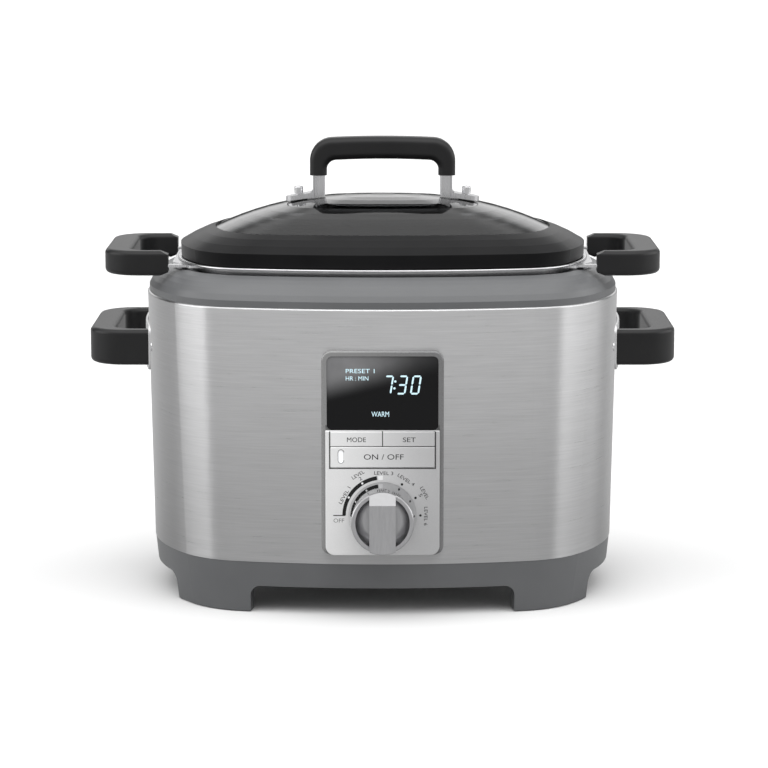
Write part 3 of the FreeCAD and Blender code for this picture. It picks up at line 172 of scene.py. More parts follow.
def add_world():
    """White to the camera; to everything else a dim studio with two side softboxes and a bright ceiling."""
    world = bpy.data.worlds.new("studio")
    world.use_nodes = True
    graph = Graph(world.node_tree)
    world.node_tree.nodes.clear()
    direction = graph.add("ShaderNodeTexCoord").outputs["Generated"]
    part = graph.add("ShaderNodeSeparateXYZ", {0: direction}).outputs
    azimuth = graph.math("ARCTAN2", part["X"], graph.math("MULTIPLY", part["Y"], -1.0))
    side = graph.math("ABSOLUTE", azimuth)
    bright, dark = (math.radians(angle) for angle in WALL_TURNS_DARK)
    level = graph.step(side, bright, dark, FRONT_LIGHT, BACK_LIGHT)
    back = graph.step(part["Y"], -0.5, 0.5)
    ceiling = graph.spread(back, HIGH_FRONT_LIGHT, HIGH_BACK_LIGHT, 0.0, 1.0)
    behind = graph.math(
        "MULTIPLY", graph.step(part["Y"], *BACK_WALL_DEPTH), graph.step(part["Z"], *BACK_WALL_STARTS)
    )
    high = graph.blend_value(graph.step(part["Z"], *CEILING_STARTS), behind, 1.0)
    level = graph.math("ADD", level, graph.math("MULTIPLY", high, ceiling))
    for start, end, power in SOFTBOXES:
        soft = math.radians(SOFTBOX_EDGE)
        a, b = math.radians(start), math.radians(end)
        enter = graph.step(azimuth, a - soft, a + soft)
        leave = graph.step(azimuth, b - soft, b + soft, 1.0, 0.0)
        low = graph.step(part["Z"], *SOFTBOX_FOOT)
        top = graph.step(part["Z"], *SOFTBOX_TOP, 1.0, 0.0)
        across = graph.math("MULTIPLY", enter, leave)
        window = graph.math("MULTIPLY", across, graph.math("MULTIPLY", low, top))
        level = graph.math("ADD", level, graph.math("MULTIPLY", window, power))
    level = graph.blend_value(graph.step(part["Z"], *HORIZON), BELOW_LIGHT, level)
    studio = graph.add("ShaderNodeBackground", {"Strength": level})
    studio.inputs["Color"].default_value = (1, 1, 1, 1)
    white = graph.add("ShaderNodeBackground", {"Strength": 1.0})
    white.inputs["Color"].default_value = (1, 1, 1, 1)
    seen = graph.add("ShaderNodeLightPath").outputs["Is Camera Ray"]
    mix = graph.add("ShaderNodeMixShader", {0: seen, 1: studio.outputs[0], 2: white.outputs[0]})
    graph.add("ShaderNodeOutputWorld", {"Surface": mix.outputs[0]})
    bpy.context.scene.world = world


def add_floor():
    """A pale floor, clear from below, that throws less light on the object than it shows the camera."""
    mesh = bpy.data.meshes.new("floor")
    turns = [2 * math.pi * i / FLOOR_SIDES for i in range(FLOOR_SIDES)]
    corners = [(FLOOR_RADIUS * math.cos(t), FLOOR_RADIUS * math.sin(t), 0) for t in turns]
    mesh.from_pydata(corners, [], [range(FLOOR_SIDES)])
    floor = bpy.data.objects.new("floor", mesh)
    bpy.context.scene.collection.objects.link(floor)
    material, graph, surface = new_material("floor_white", 0.8)
    grain = graph.noise(graph.place(), 3.0)
    graph.plug(surface.inputs["Base Color"], graph.tone(grain, (0.76, 0.76, 0.76), (0.78, 0.78, 0.78)))
    surface.inputs["Specular IOR Level"].default_value = 0.0
    dim = graph.add("ShaderNodeBsdfDiffuse", {"Color": FLOOR_BOUNCE})
    seen = graph.add("ShaderNodeLightPath").outputs["Is Camera Ray"]
    mix = graph.add("ShaderNodeMixShader", {0: seen, 1: dim.outputs[0], 2: surface.outputs[0]})
    below = graph.add("ShaderNodeNewGeometry").outputs["Backfacing"]
    clear = graph.add("ShaderNodeBsdfTransparent")
    shown = graph.add("ShaderNodeMixShader", {0: below, 1: mix.outputs[0], 2: clear.outputs[0]})
    graph.plug(material.node_tree.nodes["Material Output"].inputs["Surface"], shown.outputs[0])
    floor.data.materials.append(material)


# ---- materials ----
MATERIALS = {}


def new_material(name, roughness, metallic=0.0):
    """A new material, kept in MATERIALS by the name asked for: the frame may hold one called that already."""
    material = bpy.data.materials.new(name)
    MATERIALS[name] = material
    material.use_nodes = True
    graph = Graph(material.node_tree)
    surface = material.node_tree.nodes["Principled BSDF"]
    surface.inputs["Roughness"].default_value = roughness
    surface.inputs["Metallic"].default_value = metallic
    return material, graph, surface


def brushed_metal(name, dark, light, roughness, scale, anisotropic, turn=0.25, relief=0.12, painted_low_shade=None):
    """Fine streaks; scale says how many per metre along X, Y and Z. A painted low shade darkens the metal's
    colour towards the floor.
    """
    material, graph, surface = new_material(name, roughness, 1.0)
    streak = graph.noise(graph.place(scale), 1.0, 3.0, 0.6)
    broad = graph.noise(graph.place([s * 0.3 for s in scale]), 1.0, 2.0)
    mixed = graph.math("ADD", graph.math("MULTIPLY", streak, 0.7), graph.math("MULTIPLY", broad, 0.3))
    colour = graph.tone(graph.spread(mixed, 0.0, 1.0), dark, light)
    if painted_low_shade:
        # painted shade: the colour is scaled down from the shell's top to its foot
        height = graph.add("ShaderNodeSeparateXYZ", {0: graph.place()}).outputs["Z"]
        shade = graph.step(height, SHELL_LOW.z, SHELL_HIGH.z, painted_low_shade, 1.0)
        dimmed = graph.add("ShaderNodeVectorMath", {0: colour, "Scale": shade}, operation="SCALE")
        colour = dimmed.outputs[0]
    graph.plug(surface.inputs["Base Color"], colour)
    graph.plug(surface.inputs["Roughness"], graph.spread(mixed, roughness - 0.03, roughness + 0.03))
    graph.plug(surface.inputs["Normal"], graph.bump(streak, relief, 0.1 * MM))
    surface.inputs["Anisotropic"].default_value = anisotropic
    surface.inputs["Anisotropic Rotation"].default_value = turn
    tangent = graph.add("ShaderNodeTangent", direction_type="RADIAL", axis="Z").outputs[0]
    graph.plug(surface.inputs["Tangent"], tangent)
    return material


def moulded_plastic(name, dark, light, roughness, grain=2200.0, relief=0.1, specular=0.5):
    """Satin plastic: a fine moulded grain, faint cloudiness and a slightly uneven gloss."""
    material, graph, surface = new_material(name, roughness)
    cloud = graph.noise(graph.place(), 22.0, 3.0)
    fine = graph.noise(graph.place(), grain, 2.0)
    graph.plug(surface.inputs["Base Color"], graph.tone(graph.spread(cloud, 0.0, 1.0), dark, light))
    graph.plug(surface.inputs["Roughness"], graph.spread(fine, roughness - 0.04, roughness + 0.04))
    graph.plug(surface.inputs["Normal"], graph.bump(fine, relief, 0.08 * MM))
    surface.inputs["Specular IOR Level"].default_value = specular
    return material


def plain_metal(name, dark, light, roughness, scale=300.0, relief=0.05):
    """Metal with soft, even mottling."""
    material, graph, surface = new_material(name, roughness, 1.0)
    mottle = graph.noise(graph.place(), scale, 3.0)
    graph.plug(surface.inputs["Base Color"], graph.tone(graph.spread(mottle, 0.0, 1.0), dark, light))
    graph.plug(surface.inputs["Roughness"], graph.spread(mottle, roughness - 0.05, roughness + 0.05))
    graph.plug(surface.inputs["Normal"], graph.bump(mottle, relief, 0.1 * MM))
    return material


def galvanised():
    material, graph, surface = new_material("galvanised_steel", 0.42, 1.0)
    cells = graph.add("ShaderNodeTexVoronoi", {"Vector": graph.place(), "Scale": 130.0})
    spangle = graph.add("ShaderNodeSeparateColor", {0: cells.outputs["Color"]}).outputs[0]
    graph.plug(surface.inputs["Base Color"], graph.tone(spangle, (0.42, 0.43, 0.44), (0.58, 0.59, 0.6)))
    graph.plug(surface.inputs["Roughness"], graph.spread(spangle, 0.34, 0.5, 0.0, 1.0))
    return material


def smoked_glass():
    material, graph, surface = new_material("smoked_glass", 0.02)
    haze_and_sheen = graph.noise(graph.place(), 35.0, 3.0)
    graph.plug(surface.inputs["Roughness"], graph.spread(haze_and_sheen, 0.015, 0.05))
    graph.plug(surface.inputs["Base Color"], graph.tone(haze_and_sheen, (0.05, 0.052, 0.055), (0.075, 0.077, 0.08)))
    surface.inputs["Transmission Weight"].default_value = 1.0
    surface.inputs["IOR"].default_value = 1.52
    return material


BARE_RIM = 2.6 * MM


def vessel_metal():
    """Satin metal outside and on the rim, dark speckled non-stick coating inside the bowl."""
    material, graph, surface = new_material("vessel_metal", 0.3, 1.0)
    point = graph.place()
    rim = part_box("cooking_vessel")[1].z
    normal = graph.add("ShaderNodeTexCoord").outputs["Normal"]
    reach = graph.add("ShaderNodeVectorMath", {0: point, 1: (0, BODY_Y, 0)}, operation="SUBTRACT")
    outward = graph.add("ShaderNodeVectorMath", {0: reach.outputs[0], 1: (1, 1, 0)}, operation="MULTIPLY")
    facing = graph.add("ShaderNodeVectorMath", {0: normal, 1: outward.outputs[0]}, operation="DOT_PRODUCT")
    wall = graph.math("LESS_THAN", facing.outputs["Value"], -1.5 * MM)
    rise = graph.add("ShaderNodeSeparateXYZ", {0: normal}).outputs["Z"]
    upward = graph.math("GREATER_THAN", rise, 0.3)
    height = graph.add("ShaderNodeSeparateXYZ", {0: point}).outputs["Z"]
    deep = graph.math("LESS_THAN", height, rim - BARE_RIM)
    inside = graph.math("MULTIPLY", graph.math("MAXIMUM", wall, upward), deep)
    streak = graph.noise(graph.place((9, 9, 900)), 1.0, 2.0)
    speck = graph.noise(graph.place(), 900.0, 1.0)
    metal = graph.tone(streak, (0.62, 0.62, 0.63), (0.7, 0.7, 0.71))
    coat = graph.tone(graph.spread(speck, 0.0, 1.0, 0.6, 0.72), (0.02, 0.02, 0.021), (0.09, 0.09, 0.092))
    graph.plug(surface.inputs["Base Color"], graph.blend(inside, metal, coat))
    graph.plug(surface.inputs["Metallic"], graph.math("SUBTRACT", 1.0, inside))
    graph.plug(surface.inputs["Roughness"], graph.spread(inside, 0.24, 0.42, 0.0, 1.0))
    graph.plug(surface.inputs["Normal"], graph.bump(speck, 0.05, 0.1 * MM))
    return material


def satin_paint(name, left, right, roughness, metallic, half):
    """Metallic paint with a fine sparkle, and painted light that makes it a little lighter on its left side.
    """
    material, graph, surface = new_material(name, roughness, metallic)
    x = graph.add("ShaderNodeSeparateXYZ", {0: graph.place()}).outputs["X"]
    # painted light: the colour runs from lighter on the left to darker on the right
    painted_light_across = graph.step(x, -half, half)
    sparkle = graph.noise(graph.place(), 4200.0, 1.0)
    colour = graph.tone(painted_light_across, (left, left, left), (right, right, right * 1.01))
    speck = graph.spread(sparkle, -0.035, 0.035)
    shifted = graph.add("ShaderNodeMix", data_type="RGBA", blend_type="ADD")
    shifted.inputs[0].default_value = 1.0
    graph.plug(shifted.inputs[6], colour)
    graph.plug(shifted.inputs[7], speck)
    graph.plug(surface.inputs["Base Color"], shifted.outputs[2])
    graph.plug(surface.inputs["Roughness"], graph.spread(sparkle, roughness - 0.05, roughness + 0.05))
    return material


KNOB_SKIRT = (23.3 * MM, 23.8 * MM)
KNOB_STREAKS = (700, 60, 90)


def knob_steel():
    """Satin steel on the knob's face and bar; duller on the bar's bevel, which is rougher and darkened by
    painted shade; polished on the skirt round them.
    """
    dark, light = (0.46, 0.46, 0.47), (0.54, 0.54, 0.55)
    material = brushed_metal("knob_steel", dark, light, 0.32, KNOB_STREAKS, 0.3, 0.0, 0.03)
    graph = Graph(material.node_tree)
    surface = material.node_tree.nodes["Principled BSDF"]
    low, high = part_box("knob")
    middle = (low + high) / 2
    part = graph.add("ShaderNodeSeparateXYZ", {0: graph.place()}).outputs
    across = graph.math("SUBTRACT", part["X"], middle.x)
    up = graph.math("SUBTRACT", part["Z"], middle.z)
    squares = graph.math("ADD", graph.math("MULTIPLY", across, across), graph.math("MULTIPLY", up, up))
    skirt = graph.step(graph.math("SQRT", squares), *KNOB_SKIRT)
    normal = graph.add("ShaderNodeTexCoord").outputs["Normal"]
    upward = graph.step(graph.add("ShaderNodeSeparateXYZ", {0: normal}).outputs["Z"], 0.35, 0.5)
    bevel = graph.math("MULTIPLY", upward, graph.math("SUBTRACT", 1.0, skirt))
    satin = surface.inputs["Roughness"].links[0].from_socket
    matt = graph.blend_value(bevel, satin, 0.45)
    bright = surface.inputs["Base Color"].links[0].from_socket
    # painted shade: the upward-facing bevel gets a darker colour than the satin steel round it
    painted_shade_colour = graph.tone(graph.noise(graph.place(), 500.0), (0.32, 0.32, 0.325), (0.36, 0.36, 0.365))
    graph.plug(surface.inputs["Base Color"], graph.blend(bevel, bright, painted_shade_colour))
    graph.plug(surface.inputs["Roughness"], graph.blend_value(skirt, matt, 0.07))
    return material


def display_black():
    """Gloss black window with a painted reflection: its upper left corner is painted lighter, fading out to
    the right.
    """
    material, graph, surface = new_material("display_black", 0.06)
    low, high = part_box("display_lens")
    part = graph.add("ShaderNodeSeparateXYZ", {0: graph.place()}).outputs
    # painted reflection: lighter above a slanted edge near the top, fading out towards the right
    slope = graph.math("SUBTRACT", part["Z"], graph.math("MULTIPLY", part["X"], 0.25))
    edge = low.z + (high.z - low.z) * 0.66
    haze_and_sheen = graph.step(slope, edge - 6 * MM, edge + 16 * MM)
    painted_light_across = graph.step(part["X"], -30 * MM, 42 * MM, 1.0, 0.15)
    smear_and_sheen = graph.noise(graph.place(), 60.0, 2.0)
    painted_reflection = graph.math("MULTIPLY", graph.math("MULTIPLY", haze_and_sheen, painted_light_across), graph.spread(smear_and_sheen, 0.85, 1.0))
    graph.plug(surface.inputs["Base Color"], graph.tone(painted_reflection, (0.004, 0.004, 0.0045), (0.22, 0.22, 0.225)))
    graph.plug(surface.inputs["Roughness"], graph.spread(smear_and_sheen, 0.05, 0.1))
    surface.inputs["Specular IOR Level"].default_value = 0.2
    return material


def glowing(name, colour, strength):
    material, graph, surface = new_material(name, 0.3)
    mottle = graph.noise(graph.place(), 900.0, 1.0)
    shown = graph.tone(mottle, [c * 0.92 for c in colour], colour)
    graph.plug(surface.inputs["Base Color"], shown)
    graph.plug(surface.inputs["Emission Color"], shown)
    surface.inputs["Emission Strength"].default_value = strength
    return material


def board_green():
    """Solder mask over a faint pattern of tracks."""
    material, graph, surface = new_material("board_green", 0.28)
    found = {"Vector": graph.place(), "Scale": 220.0, "Mortar Size": 0.06}
    brick = graph.add("ShaderNodeTexBrick", found)
    brick.inputs["Color1"].default_value = (0.02, 0.12, 0.05, 1)
    brick.inputs["Color2"].default_value = (0.025, 0.15, 0.06, 1)
    brick.inputs["Mortar"].default_value = (0.06, 0.3, 0.13, 1)
    graph.plug(surface.inputs["Base Color"], brick.outputs["Color"])
    graph.plug(surface.inputs["Normal"], graph.bump(brick.outputs["Fac"], 0.1, 0.05 * MM))
    return material


def insulation_white():
    material, graph, surface = new_material("insulation_white", 0.95)
    fibre = graph.noise(graph.place((500, 500, 120)), 1.0, 5.0, 0.7)
    graph.plug(surface.inputs["Base Color"], graph.tone(fibre, (0.62, 0.6, 0.54), (0.85, 0.83, 0.77)))
    graph.plug(surface.inputs["Normal"], graph.bump(fibre, 0.6, 0.6 * MM))
    return material


SHELL_STREAKS = (34, 34, 1500)
POST_STREAKS = (900, 900, 40)


def shell_steel():
    """The shell's fine level streaks, with painted shade that darkens them towards the floor."""
    dark, light = (0.56, 0.56, 0.565), (0.66, 0.66, 0.665)
    return brushed_metal("shell_steel", dark, light, 0.3, SHELL_STREAKS, 0.95, painted_low_shade=0.76)


def make_materials():
    shell_steel()
    moulded_plastic("grey_plastic", (0.108, 0.111, 0.115), (0.122, 0.125, 0.129), 0.34)
    moulded_plastic("black_plastic", (0.009, 0.009, 0.0095), (0.013, 0.013, 0.0135), 0.38, specular=0.28)
    moulded_plastic("lid_black", (0.003, 0.003, 0.0035), (0.0055, 0.0055, 0.006), 0.36, specular=0.14)
    smoked_glass()
    vessel_metal()
    plain_metal("heater_aluminium", (0.52, 0.52, 0.53), (0.66, 0.66, 0.67), 0.45, 160.0, 0.25)
    galvanised()
    plain_metal("fastener_steel", (0.6, 0.6, 0.61), (0.72, 0.72, 0.73), 0.25)
    brushed_metal("post_steel", (0.55, 0.55, 0.56), (0.66, 0.66, 0.67), 0.28, POST_STREAKS, 0.4)
    knob_steel()
    # painted light on the frame, fascia and buttons: lighter on their left side
    satin_paint("frame_grey", 0.27, 0.19, 0.26, 0.3, 46 * MM)
    satin_paint("fascia_silver", 0.86, 0.5, 0.38, 0.35, 44 * MM)
    satin_paint("button_silver", 0.9, 0.53, 0.34, 0.35, 44 * MM)
    display_black()
    glowing("light_white", (0.95, 0.97, 1.0), 0.35)
    moulded_plastic("rubber_grey", (0.05, 0.05, 0.05), (0.07, 0.07, 0.07), 0.8, 900.0, 0.3, 0.3)
    moulded_plastic("silicone_black", (0.03, 0.03, 0.03), (0.045, 0.045, 0.045), 0.6, 900.0, 0.2)
    board_green()
    moulded_plastic("component_black", (0.02, 0.02, 0.02), (0.035, 0.035, 0.035), 0.5, 1500.0)
    moulded_plastic("component_white", (0.68, 0.68, 0.65), (0.78, 0.78, 0.75), 0.5, 1500.0)
    insulation_white()
    moulded_plastic("inlet_black", (0.016, 0.016, 0.016), (0.024, 0.024, 0.024), 0.4)
    plain_metal("pin_brass", (0.6, 0.5, 0.26), (0.74, 0.63, 0.34), 0.28)
    moulded_plastic("wire_grey", (0.26, 0.26, 0.27), (0.34, 0.34, 0.35), 0.5)
    plain_metal("encoder_zinc", (0.48, 0.48, 0.49), (0.6, 0.6, 0.61), 0.4)


def finish_cad_nodes():
    """Gives every CAD node its slot's material and smooth curved faces.

    The base's and vessel's handles, with their plates and screws, leave no reflection on their neighbours.
    """
    slots = {row["node"]: row["material_slot"] for row in frame["record"]["subparts"]}
    for name, node in frame["nodes"].items():
        node.data.materials.clear()
        node.data.materials.append(MATERIALS[slots[name]])
        for polygon in node.data.polygons:
            polygon.use_smooth = True
        if "handle" in name and "lid" not in name:
            node.visible_glossy = False


# ---- printed and lit marks on the panel ----
# x in millimetres from the body's centre line, y from its middle, z from the floor
BUTTON_FACE = -136.6
FASCIA_FACE = -136.2
DISPLAY_FACE = -133.7
PRINT_THICK = 0.04
DIAL_Z = 79.2

PRINT = moulded_plastic("print_black", (0.012, 0.012, 0.012), (0.02, 0.02, 0.02), 0.5, 1500.0, 0.02, 0.2)
PALE_PRINT = moulded_plastic("print_grey", (0.2, 0.2, 0.2), (0.25, 0.25, 0.25), 0.5, 1500.0, 0.02, 0.2)
WHITE_PRINT = moulded_plastic("print_white", (0.86, 0.86, 0.86), (0.92, 0.92, 0.92), 0.4, 1500.0, 0.02)


def at(x, y, z):
    """A point given in millimetres from the body's centre."""
    return Vector((x * MM, BODY_Y + y * MM, z * MM))


def add_piece(name, mesh, material, body):
    piece = bpy.data.objects.new(name, mesh)
    bpy.context.scene.collection.objects.link(piece)
    mesh.materials.clear()
    mesh.materials.append(material)
    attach(piece, body)
    return piece


def plate_mesh(name, outlines, face):
    """Thin flat plates standing on the front face at Y = face, each from a list of (x, z) corners."""
    shape = bmesh.new()
    for corners in outlines:
        back = [shape.verts.new(at(x, face, z)) for x, z in corners]
        front = [shape.verts.new(at(x, face - PRINT_THICK, z)) for x, z in corners]
        shape.faces.new(front)
        count = len(corners)
        for i in range(count):
            j = (i + 1) % count
            shape.faces.new((back[i], back[j], front[j], front[i]))
    bmesh.ops.recalc_face_normals(shape, faces=shape.faces[:])
    mesh = bpy.data.meshes.new(name)
    shape.to_mesh(mesh)
    shape.free()
    return mesh


TEXT_EXTRUDE = 0.5


def text_mesh(name, words, cap, width, x, z, face, turn=0.0, align="CENTER"):
    """Words as a thin mesh of a set width and capital height.

    x and z are the middle of the baseline, or its left end when align is LEFT.
    """
    curve = bpy.data.curves.new(name, "FONT")
    curve.body = words
    curve.align_x = "LEFT"
    curve.extrude = TEXT_EXTRUDE
    curve.resolution_u = 4
    holder = bpy.data.objects.new(name + "_curve", curve)
    bpy.context.scene.collection.objects.link(holder)
    bpy.context.view_layer.update()
    mesh = bpy.data.meshes.new_from_object(holder.evaluated_get(bpy.context.evaluated_depsgraph_get()))
    bpy.data.objects.remove(holder)
    bpy.data.curves.remove(curve)
    mesh.name = name
    left = min(v.co.x for v in mesh.vertices)
    right = max(v.co.x for v in mesh.vertices)
    top = max(v.co.y for v in mesh.vertices)
    start = 0.0 if align == "LEFT" else -width / 2
    sine, cosine = math.sin(math.radians(turn)), math.cos(math.radians(turn))
    for v in mesh.vertices:
        u = start + (v.co.x - left) / (right - left) * width
        w = v.co.y / top * cap
        depth = face - (v.co.z + TEXT_EXTRUDE) * PRINT_THICK
        v.co = at(x + u * cosine - w * sine, depth, z + u * sine + w * cosine)
    return mesh


SEGMENTS = {
    "a": ((0, 2), (1, 2)),
    "b": ((1, 2), (1, 1)),
    "c": ((1, 1), (1, 0)),
    "d": ((1, 0), (0, 0)),
    "e": ((0, 0), (0, 1)),
    "f": ((0, 1), (0, 2)),
    "g": ((0, 1), (1, 1)),
}
LIT = {"7": "abc", "3": "abcdg", "0": "abcdef"}
DIGIT_SLANT = math.tan(math.radians(9))
SEGMENT_GAP = 0.2


def digit_segments(digit, x, z, width=5.6, height=13.2, stroke=1.3):
    """The lit bars of one seven-segment digit, leaning right, with pointed ends."""
    outlines = []
    for name in LIT[digit]:
        (ux, uz), (vx, vz) = SEGMENTS[name]
        start = Vector((ux * width, uz * height / 2))
        end = Vector((vx * width, vz * height / 2))
        along = (end - start).normalized()
        across = Vector((-along.y, along.x)) * stroke / 2
        start, end = start + along * SEGMENT_GAP, end - along * SEGMENT_GAP
        tip = along * stroke / 2
        upper = [start + tip + across, end - tip + across]
        lower = [end - tip - across, start + tip - across]
        corners = [start, *upper, end, *lower]
        outlines.append([(x + c.x + (c.y - height / 2) * DIGIT_SLANT, z + c.y) for c in corners])
    return outlines


def box_outline(low_x, low_z, high_x, high_z):
    return [(low_x, low_z), (high_x, low_z), (high_x, high_z), (low_x, high_z)]


def disc(x, z, radius, count=20):
    turns = [2 * math.pi * i / count for i in range(count)]
    return [(x + radius * math.cos(t), z + radius * math.sin(t)) for t in turns]


def on_dial(angle, radius):
    """A point of the dial's scale; the angle runs clockwise from the top."""
    t = math.radians(angle)
    return radius * math.sin(t), DIAL_Z + radius * math.cos(t)


def dial_arc(start, end, radius, thick_start, thick_end, count=40):
    """A band along the dial's scale that changes thickness evenly, in short pieces with straight sides."""
    angles = [start + (end - start) * k / count for k in range(count + 1)]
    halves = [(thick_start + (thick_end - thick_start) * k / count) / 2 for k in range(count + 1)]
    inner = [on_dial(angle, radius - half) for angle, half in zip(angles, halves)]
    outer = [on_dial(angle, radius + half) for angle, half in zip(angles, halves)]
    return [[inner[k], outer[k], outer[k + 1], inner[k + 1]] for k in range(count)]


# rows of each label from the outside in, its angle and the radius of its inner baseline
DIAL_LABELS = [
    (("LEVEL 1",), -61.5, 31.2),
    (("LEVEL", "2"), -30.5, 31.6),
    (("LEVEL 3",), 1.5, 31.2),
    (("LEVEL 4",), 33.0, 31.4),
    (("LEVEL", "5"), 61.5, 31.4),
    (("LEVEL 6",), 91.0, 31.4),
]
LABEL_CAP = 2.6
LETTER_WIDTH = 2.05
ROW_STEP = 3.4
SCALE_RADIUS = 29.0
# angle and radius of the plain dots along the scale's second half
SCALE_DOTS = [(31.5, 28.0), (61.5, 28.3), (90, 28.6)]
WHITE_SPOTS = [-61.5, -31.7]
OFF_TICK = ((-37.2, -28.2), 0.35)


DIGITS = [("7", 1.4), ("3", 12.0), ("0", 22.2)]
DIGIT_FOOT = 172.0
COLON = [(9.6, 181.3), (8.9, 176.0)]
DOT_RADIUS = 0.85


def add_display():
    """The lit digits with their colon, and the three small lines of words."""
    blue = glowing("digit_blue", (0.62, 0.84, 0.92), 0.35)
    outlines = [bar for digit, x in DIGITS for bar in digit_segments(digit, x, DIGIT_FOOT)]
    outlines += [disc(x, z, DOT_RADIUS) for x, z in COLON]
    mesh = plate_mesh("display_digits", outlines, DISPLAY_FACE)
    add_piece("display_digits", mesh, blue, "housing")
    for name, words, cap, width, x, z in (
        ("display_line_one", "PRESET 1", 3.2, 21.6, -27.6, 187.6),
        ("display_line_two", "HR : MIN", 3.2, 17.0, -27.6, 182.0),
        ("display_heat", "WARM", 3.9, 13.2, -8.3, 154.4),
    ):
        mesh = text_mesh(name, words, cap, width, x, z, DISPLAY_FACE, align="LEFT")
        add_piece(name, mesh, blue, "housing")


def add_button_words():
    """One generic word on each button, which it rides on."""
    for name, words, cap, width, x, z, body in (
        ("back_button_word", "MODE", 3.5, 14.2, -19.6, 135.6, "back_button"),
        ("timer_button_word", "SET", 3.5, 9.6, 20.1, 135.6, "timer_button"),
        ("start_button_word", "ON / OFF", 4.0, 30.0, 0.9, 122.2, "start_button"),
    ):
        mesh = text_mesh(name, words, cap, width, x, z, BUTTON_FACE)
        add_piece(name, mesh, PRINT, body)


def add_dial_scale():
    """The printed scale round the knob: a thickening arc, a tick, dots, white spots and the labels."""
    (tick_start, tick_end), tick_half = OFF_TICK
    outlines = dial_arc(-90, -8.3, SCALE_RADIUS, 2.6, 3.0)
    outlines.append(box_outline(tick_start, DIAL_Z - tick_half, tick_end, DIAL_Z + tick_half))
    outlines += [disc(*on_dial(angle, radius), 0.95) for angle, radius in SCALE_DOTS]
    mesh = plate_mesh("dial_scale", outlines, FASCIA_FACE)
    add_piece("dial_scale", mesh, PRINT, "housing")
    spots = [disc(*on_dial(angle, SCALE_RADIUS), 0.85) for angle in WHITE_SPOTS]
    spots.append([on_dial(-6.6, 27.4), on_dial(-6.2, 30.6), on_dial(0.4, 30.6), on_dial(0.4, 27.4)])
    mesh = plate_mesh("dial_spots", spots, FASCIA_FACE - PRINT_THICK)
    add_piece("dial_spots", mesh, WHITE_PRINT, "housing")
    for number, (rows, angle, radius) in enumerate(DIAL_LABELS):
        for row, words in enumerate(reversed(rows)):
            x, z = on_dial(angle, radius + row * ROW_STEP)
            name = f"dial_label_{number}_{row}"
            width = LETTER_WIDTH * len(words)
            mesh = text_mesh(name, words, LABEL_CAP, width, x, z, FASCIA_FACE, turn=-angle)
            add_piece(name, mesh, PRINT, "housing")
    mesh = text_mesh("dial_label_off", "OFF", 3.0, 8.0, -33.0, DIAL_Z - 5.4, FASCIA_FACE)
    add_piece("dial_label_off", mesh, PALE_PRINT, "housing")


SURROUND_SIDE = 39.6
SURROUND_LOW = 115.6
SURROUND_HIGH = 143.6
SURROUND_LINE = 0.65


def add_button_seam_shadow():
    """Painted shadow: dark print lines on the fascia that stand in for the shade in the recessed edge of its
    opening beside and below the buttons.
    """
    foot, outside = SURROUND_LOW - SURROUND_LINE, SURROUND_SIDE + SURROUND_LINE
    outlines = [
        box_outline(-outside, foot, -SURROUND_SIDE, SURROUND_HIGH),
        box_outline(SURROUND_SIDE, foot, outside, SURROUND_HIGH),
        box_outline(-SURROUND_SIDE, foot, SURROUND_SIDE, SURROUND_LOW),
    ]
    mesh = plate_mesh("button_seam_shadow", outlines, FASCIA_FACE)
    add_piece("button_seam_shadow", mesh, PRINT, "housing")


LIGHT_X = -31.3
LIGHT_ENDS = (121.6, 127.6)
LIGHT_RADIUS = 2.0
LIGHT_LINE = 0.42
LOOP_SIDES = 28


def light_loop(radius):
    """Corners from the light slot's upper right over the top and round to its lower right; not closed."""
    low, high = LIGHT_ENDS
    turns = [2 * math.pi * i / LOOP_SIDES for i in range(LOOP_SIDES + 1)]
    middles = [high if math.sin(t) >= 0 else low for t in turns]
    return [(LIGHT_X + radius * math.cos(t), z + radius * math.sin(t)) for t, z in zip(turns, middles)]


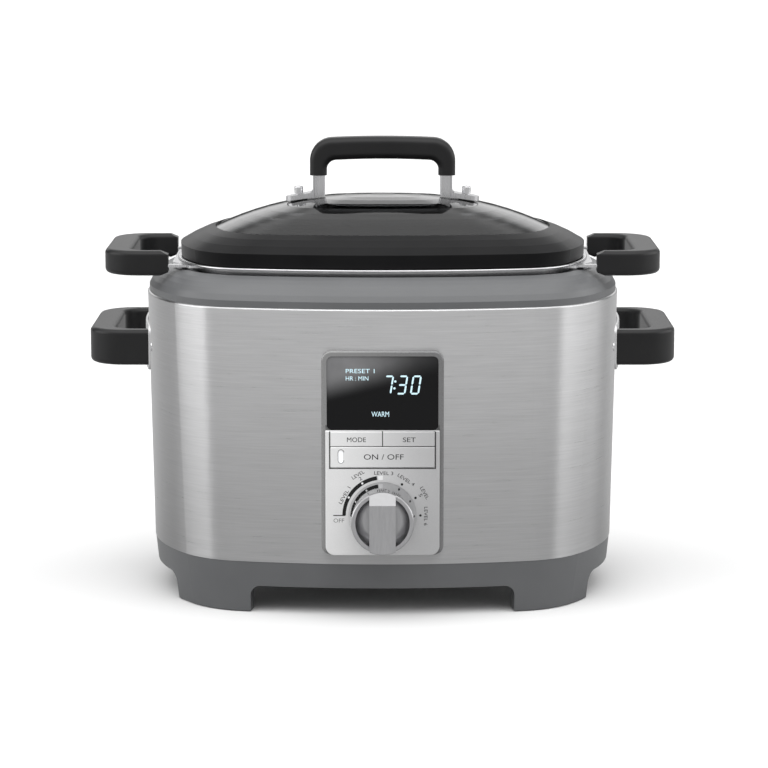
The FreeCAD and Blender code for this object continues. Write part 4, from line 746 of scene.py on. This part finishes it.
def add_light_outline():
    """A thin dark line round the start button's light slot, open along its right side."""
    inner, outer = light_loop(LIGHT_RADIUS), light_loop(LIGHT_RADIUS + LIGHT_LINE)
    outlines = [[inner[i], outer[i], outer[i + 1], inner[i + 1]] for i in range(LOOP_SIDES)]
    mesh = plate_mesh("light_outline", outlines, BUTTON_FACE)
    add_piece("light_outline", mesh, PALE_PRINT, "start_button")


# ---- the sensor's coil spring, which the CAD holds at its rest length ----
WIRE_RADIUS = 0.7 * MM
SPRING_TURNS = 6
RINGS_A_TURN = 28
RING_CORNERS = 10


def add_sensor_spring():
    """The sensor's coil spring, built at the CAD spring's rest length with its foot on the bracket."""
    low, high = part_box("sensor_spring")
    middle = (low + high) / 2
    radius = (high.x - low.x) / 2 - WIRE_RADIUS
    start, rise = low.z + WIRE_RADIUS, high.z - low.z - 2 * WIRE_RADIUS
    shape = bmesh.new()
    rings = []
    count = SPRING_TURNS * RINGS_A_TURN
    for i in range(count + 1):
        turn = 2 * math.pi * i / RINGS_A_TURN
        out = Vector((math.cos(turn), math.sin(turn), 0))
        centre = Vector((middle.x, middle.y, start + rise * i / count)) + out * radius
        ring = []
        for k in range(RING_CORNERS):
            t = 2 * math.pi * k / RING_CORNERS
            round_wire = out * math.cos(t) + Vector((0, 0, math.sin(t)))
            ring.append(shape.verts.new(centre + round_wire * WIRE_RADIUS))
        rings.append(ring)
    for lower, upper in zip(rings, rings[1:]):
        for k in range(RING_CORNERS):
            j = (k + 1) % RING_CORNERS
            shape.faces.new((lower[k], lower[j], upper[j], upper[k]))
    shape.faces.new(rings[0])
    shape.faces.new(rings[-1])
    bmesh.ops.recalc_face_normals(shape, faces=shape.faces[:])
    for face in shape.faces:
        face.smooth = len(face.verts) == 4
    mesh = bpy.data.meshes.new("sensor_coil")
    shape.to_mesh(mesh)
    shape.free()
    coil = add_piece("sensor_coil", mesh, MATERIALS["fastener_steel"], "housing")
    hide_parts("sensor_spring")
    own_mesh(coil)


make_materials()
add_camera()
add_world()
add_floor()
finish_cad_nodes()
add_display()
add_button_words()
add_dial_scale()
add_button_seam_shadow()
add_light_outline()
add_sensor_spring()
bpy.context.scene.view_settings.view_transform = "Standard"
